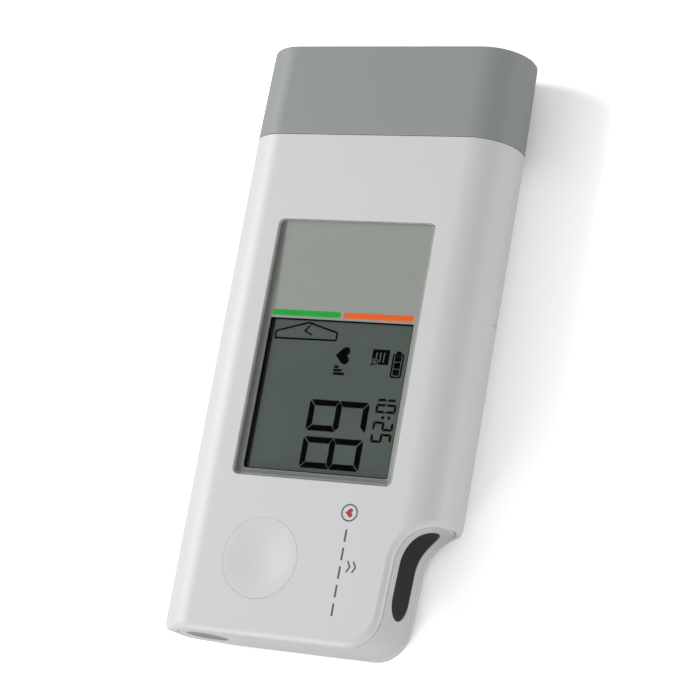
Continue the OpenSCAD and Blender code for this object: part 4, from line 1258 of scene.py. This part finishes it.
def electrodeBand():
    radius = bandR - band["gap"]
    s = outlineSamples(radius)
    first = outlineFromX(bandLeft - radius, 0, 2)
    last = outlineFromX(bandRight + radius, 4, 6)
    s = s[(s > first + 0.02) & (s < last - 0.02)]
    half = bandHalf(outlineAt(s)[0][:, 0], radius)
    outer = np.concatenate([[[first, bandMid]], np.stack([s, bandMid - half], -1),
                            [[last, bandMid]], np.stack([s, bandMid + half], -1)[::-1]])
    chestS = cutStarts[1] + chestAt[0] - (casing["leftCorner"] - halfW)
    holes = [fingerLoop(fingerR + finger["gap"]),
             ringLoop((chestS, chestAt[1]), chestR + chest["gap"], 72)]
    return closeShell(joinPatches([unrolled(outer, holes, 0)]), band["thick"], band["lip"])


def fingerElectrode():
    patch = unrolled(fingerLoop(fingerR - finger["gap"]), [], finger["sink"])
    return closeShell(joinPatches([patch]), finger["thick"], finger["lip"], 5)


def chestElectrode():
    # A turned disc: it is dished by d (1 - (r/R)^2) and has fine rings, h sin(2 pi k r/R).
    share = np.linspace(0, 1, 41)
    angle = np.arange(72) * math.pi / 36
    wave = 2 * math.pi * chest["rings"]
    depth = chest["dish"] * (1 - share ** 2) + chest["ring"] * np.sin(wave * share)
    slope = (-2 * chest["dish"] * share + chest["ring"] * wave * np.cos(wave * share)) / chestR
    ray = np.stack([np.cos(angle), np.sin(angle)], -1)
    plan = chestAt + (share * chestR)[:, None, None] * ray
    y = np.broadcast_to((lowY + chest["sink"] + depth)[:, None], plan.shape[:2])
    normals = np.stack([slope[:, None] * ray[:, 0], -np.ones(y.shape), slope[:, None] * ray[:, 1]], -1)
    patch = gridPatch(np.stack([plan[..., 0], y, plan[..., 1]], -1), unit(normals), wrap=True)
    return closeShell(joinPatches([patch]), chest["thick"], chest["lip"])


addPiece("electrodeBand", electrodeBand(), "bandPlastic", "casing", ["electrode_band"])
addPiece("fingerElectrode", fingerElectrode(), "blackElectrode", "casing",
         ["finger_electrode"])
addPiece("chestElectrode", chestElectrode(), "metalElectrode", "casing",
         ["chest_electrode"])

# Display

pane = {"gap": 0.03, "bevel": 0.34, "bevelDrop": 0.2}


def windowPane():
    # A plate whose upper edge is bevelled: its outline moves in by the bevel from z - drop to z
    low, high = windowLow[:2] + pane["gap"], windowHigh[:2] - pane["gap"]
    outer = roundedLoop(low, high, 1.2)
    inner = roundedLoop(low + pane["bevel"], high - pane["bevel"], 1.2 - pane["bevel"])
    middle = windowHigh[2] - pane["bevelDrop"]
    out = unit(np.roll(outer, -1, 0) - np.roll(outer, 1, 0))[:, ::-1] * np.array([1, -1])
    foot = np.column_stack([outer, np.full(len(outer), windowLow[2])])
    shoulder = np.column_stack([outer, np.full(len(outer), middle)])
    crease = np.column_stack([inner, np.full(len(inner), windowHigh[2])])
    side = flatten(out)
    clear = np.column_stack([inner - out * 0.03, crease[:, 2]])
    slope = unit(side * pane["bevelDrop"] + np.array([0, 0, pane["bevel"]]))
    up = np.broadcast_to(np.array([0, 0, 1.0]), side.shape)
    flat, faces = fillLoops(clear[:, :2])
    top = np.column_stack([flat, np.full(len(flat), windowHigh[2])])
    flatOuter, facesOuter = fillLoops(outer)
    base = np.column_stack([flatOuter, np.full(len(flatOuter), windowLow[2])])
    ones = np.ones((2, len(outer)))
    return looseShape([
        gridPatch(np.stack([foot, shoulder]), np.stack([side, side]), ones * [[0], [1]], wrap=True),
        gridPatch(np.stack([shoulder, crease]), np.stack([slope, slope]), ones, wrap=True),
        gridPatch(np.stack([crease, clear]), np.stack([up, up]), ones * [[1], [0]], wrap=True),
        (top, faces, np.broadcast_to(up[:1], top.shape), np.zeros(len(top))),
        (base, facesOuter, -np.broadcast_to(up[:1], base.shape), np.zeros(len(base)))])


def strokeLoop(points, width):
    # A line of even width as a closed outline: every point moves half the width to each side,
    # along (n1 + n2) / (1 + n1 . n2) of its two neighbours' normals
    points = np.array(points, float)
    along = unit(np.diff(points, axis=0))
    normal = along[:, ::-1] * np.array([-1, 1])
    first, second = np.vstack([normal[:1], normal]), np.vstack([normal, normal[-1:]])
    shift = (first + second) / (1 + (first * second).sum(-1, keepdims=True)) * width / 2
    return np.concatenate([points - shift, (points + shift)[::-1]])


def softLoop(points, radius, steps=5):
    # A polygon with its corners rounded: a curve from 'radius' before to 'radius' after each
    points = np.array(points, float)
    before, after = unit(np.roll(points, 1, 0) - points), unit(np.roll(points, -1, 0) - points)
    t = np.linspace(0, 1, steps)[None, :, None]
    p = points[:, None]
    curve = ((1 - t) ** 2 * (p + before[:, None] * radius) + 2 * t * (1 - t) * p
             + t ** 2 * (p + after[:, None] * radius))
    return curve.reshape(-1, 2)


def insetLoop(points, width):
    # Every corner of a counter-clockwise polygon moved in by 'width' from both its edges
    points = np.array(points, float)
    along = unit(np.roll(points, -1, 0) - points)
    normal = along[:, ::-1] * np.array([-1, 1])
    before = np.roll(normal, 1, 0)
    return points + width * (normal + before) / (1 + (normal * before).sum(-1, keepdims=True))


def counterClockwise(points):
    points = np.array(points, float)
    nextX, nextY = np.roll(points, -1, 0).T
    return points if (points[:, 0] * nextY - points[:, 1] * nextX).sum() > 0 else points[::-1]


def heartLoop(centre, scale):
    # Upright along +X: 16 sin^3 t across, 13 cos t - 5 cos 2t - 2 cos 3t - cos 4t up
    t = np.linspace(0, 2 * math.pi, 49)[:-1]
    up = 13 * np.cos(t) - 5 * np.cos(2 * t) - 2 * np.cos(3 * t) - np.cos(4 * t)
    return np.array(centre) + scale * np.column_stack([up, -16 * np.sin(t) ** 3])


digit = {"gap": 0.22, "tip": 0.25, "cut": 0.4}      # as shares of the stroke, except the gap in mm
lit = {"0": "abcdef", "1": "bc", "2": "abged", "5": "afgcd", "6": "afgcde", "8": "abcdefg"}


def digitStrokes(sign, width, height, t):
    # The lit strokes of a seven-stroke digit, u to the right and v up, with mitred ends a
    # gap apart; the upper half is drawn and mirrored for the others
    g = digit["gap"] * min(1, t) * 0.7
    tip, cut, half = digit["tip"] * t, digit["cut"] * t, height / 2
    across = np.array([[cut, height], [(cut + g) / 2, height - (cut - g) / 2], [t + g, height - t],
                       [width - t - g, height - t], [width - (cut + g) / 2, height - (cut - g) / 2],
                       [width - cut, height]])
    upright = np.array([[0, half + g], [tip, half + g], [tip + t / 2, half + t / 2 + g],
                        [t, half + t / 2 + g],
                        [t, height - t - g], [(cut - g) / 2, height - (cut + g) / 2], [0, height - cut]])
    middle = np.array([[tip, half], [tip + t / 2, half - t / 2], [width - tip - t / 2, half - t / 2],
                       [width - tip, half], [width - tip - t / 2, half + t / 2], [tip + t / 2, half + t / 2]])
    over, down = np.array([width, 0]), np.array([0, height])
    mirrorU, mirrorV = np.array([-1, 1]), np.array([1, -1])
    strokes = {"a": across, "d": down + across * mirrorV, "f": upright, "b": over + upright * mirrorU,
               "e": down + upright * mirrorV, "c": over + down + upright * mirrorU * mirrorV, "g": middle}
    return [strokes[letter] for letter in lit[sign]]


screen = {
    "large": {"text": "68", "base": -3.9, "height": 12.9, "stroke": 1.2,
              "starts": (-13.0, -20.5), "width": 6.3},
    "small": {"text": "1025", "base": 10.4, "height": 4.3, "stroke": 0.48,
              "starts": (-10.6, -13.0, -16.5, -18.9), "width": 1.85},
    "dots": [((13.5, -15.7), 0.32), ((12.2, -15.7), 0.32)],
    "thick": 0.03,
}


def lcdPrint():
    # The panel's dark signs: a large and a small number, battery, memory sign, heart with
    # rising bars, and a pointer with a tick towards the stripes
    loops = []
    for row in (screen["large"], screen["small"]):
        for sign, start in zip(row["text"], row["starts"]):
            for stroke in digitStrokes(sign, row["width"], row["height"], row["stroke"]):
                loops.append((np.column_stack([row["base"] + stroke[:, 1], start - stroke[:, 0]]), []))
    loops += [(ringLoop(centre, radius, 16), []) for centre, radius in screen["dots"]]
    loops.append((roundedLoop((12.1, -7.7), (14.5, -2.8), 0.5),
                  [roundedLoop((12.42, -7.38), (14.18, -3.12), 0.25)]))
    loops.append((roundedLoop((12.8, -2.78), (13.8, -2.3), 0.12), []))
    loops += [(roundedLoop((12.62, y), (13.98, y + 1.22), 0.12), []) for y in (-7.18, -5.79, -4.4)]
    turn = np.radians(np.linspace(154, -36, 13))
    notch = np.array([8.4, -4.73]) + 0.8 * np.stack([np.cos(turn), np.sin(turn)], -1)
    card = np.concatenate([[(11.34, -5.2), (11.34, -2.15), (7.68, -2.15)], notch])
    loops.append((card, [roundedLoop((x, low), (x + 0.3, -2.7), 0.1)
                         for x, low in ((8.5, -3.8), (9.3, -4.7), (10.1, -4.7))]))
    loops.append((ringLoop((8.4, -4.73), 0.56, 24), [ringLoop((8.4, -4.73), 0.34, 24)]))
    loops.append((strokeLoop([(8.0, -5.13), (7.6, -5.5)], 0.26), []))
    loops.append((heartLoop((1.5, -3.8), 0.11), []))
    loops += [(roundedLoop((-0.1, y - 0.5), (0.9 + rise, y), 0.1), [])
              for y, rise in ((-5.9, 0), (-6.6, 0.7), (-7.3, 1.4))]
    pointer = counterClockwise([(-7.3, 2.7), (-14.5, 0.6), (-14.35, -1.15), (-0.55, -1.05), (-0.5, 0.85)])
    loops.append((softLoop(pointer, 0.4), [softLoop(insetLoop(pointer, 0.36), 0.2)]))
    loops.append((strokeLoop([(-6.85, 2.0), (-7.9, 0.78), (-6.1, -0.05)], 0.3), []))
    z = lcdHigh[2] + screen["thick"]
    return mergeShapes([slab(counterClockwise(loop), z, screen["thick"] + 0.01, holes, lip=0.005)
                        for loop, holes in loops])


marks = {"x": 9.6, "ring": (9.6, -35.2), "radius": 1.75, "line": 0.3, "dash": (0.42, 2.5),
         "dashes": (-38.4, -42.0, -45.6, -49.2, -52.8), "chevrons": (11.6, 12.8)}


def guideMarks():
    # Plain printed guide beside the recess: a ring, a dashed line and two chevrons that point
    # at the finger electrode
    w, l = marks["dash"]
    loops = [(ringLoop(marks["ring"], marks["radius"], 48),
              [ringLoop(marks["ring"], marks["radius"] - marks["line"], 48)])]
    loops += [(roundedLoop((marks["x"] - w / 2, y - l), (marks["x"] + w / 2, y), 0.2), [])
              for y in marks["dashes"]]
    loops += [(strokeLoop([(x - 0.6, -46.7), (x, -45.6), (x - 0.6, -44.5)], 0.34), [])
              for x in marks["chevrons"]]
    return loops


def heartMark():
    return [(heartLoop(marks["ring"], 0.055), [])]


def printed(loops):
    # Prints stand 0.01 mm proud of the display side
    return mergeShapes([slab(counterClockwise(loop), faceZ + 0.012, 0.03, holes, lip=0.004)
                        for loop, holes in loops])


addPiece("windowPane", windowPane(), "clearPane", "casing", ["display_lens"])
addPiece("lcdPrint", lcdPrint(), "lcdInk", "casing")
addPiece("guideMarks", printed(guideMarks()), "slateInk", "casing")
addPiece("heartMark", printed(heartMark()), "redInk", "casing")

# Finish of the inner parts

finishes = {
    "display_mask": "maskPrint", "normal_stripe": "greenPrint", "attention_stripe": "orangePrint",
    "rating_label": "labelFoil", "lcd_glass": "lcdPanel", "lcd_frame": "framePlastic",
    "battery_tray": "framePlastic", "switch_plunger": "framePlastic", "zebra_strips": "zebraRubber",
    "main_board": "boardLaminate", "board_chips": "chipEpoxy", "key_switch": "chipEpoxy",
    "buzzer": "chipEpoxy", "usb_shell": "plugSteel", "usb_tongue": "tonguePlastic",
    "usb_contacts": "goldContact", "finger_contact": "goldContact", "chest_contact": "goldContact",
    "battery_cells": "cellWrap", "cell_caps": "cellSteel", "cell_contacts": "cellSteel",
    "case_screws": "screwSteel", "board_screws": "screwSteel", "neck_collar": "greyPlastic",
}
for node, material in finishes.items():
    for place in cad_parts[node].material_slots:
        place.material = materials[material]
print("inner parts finished:", len(finishes))
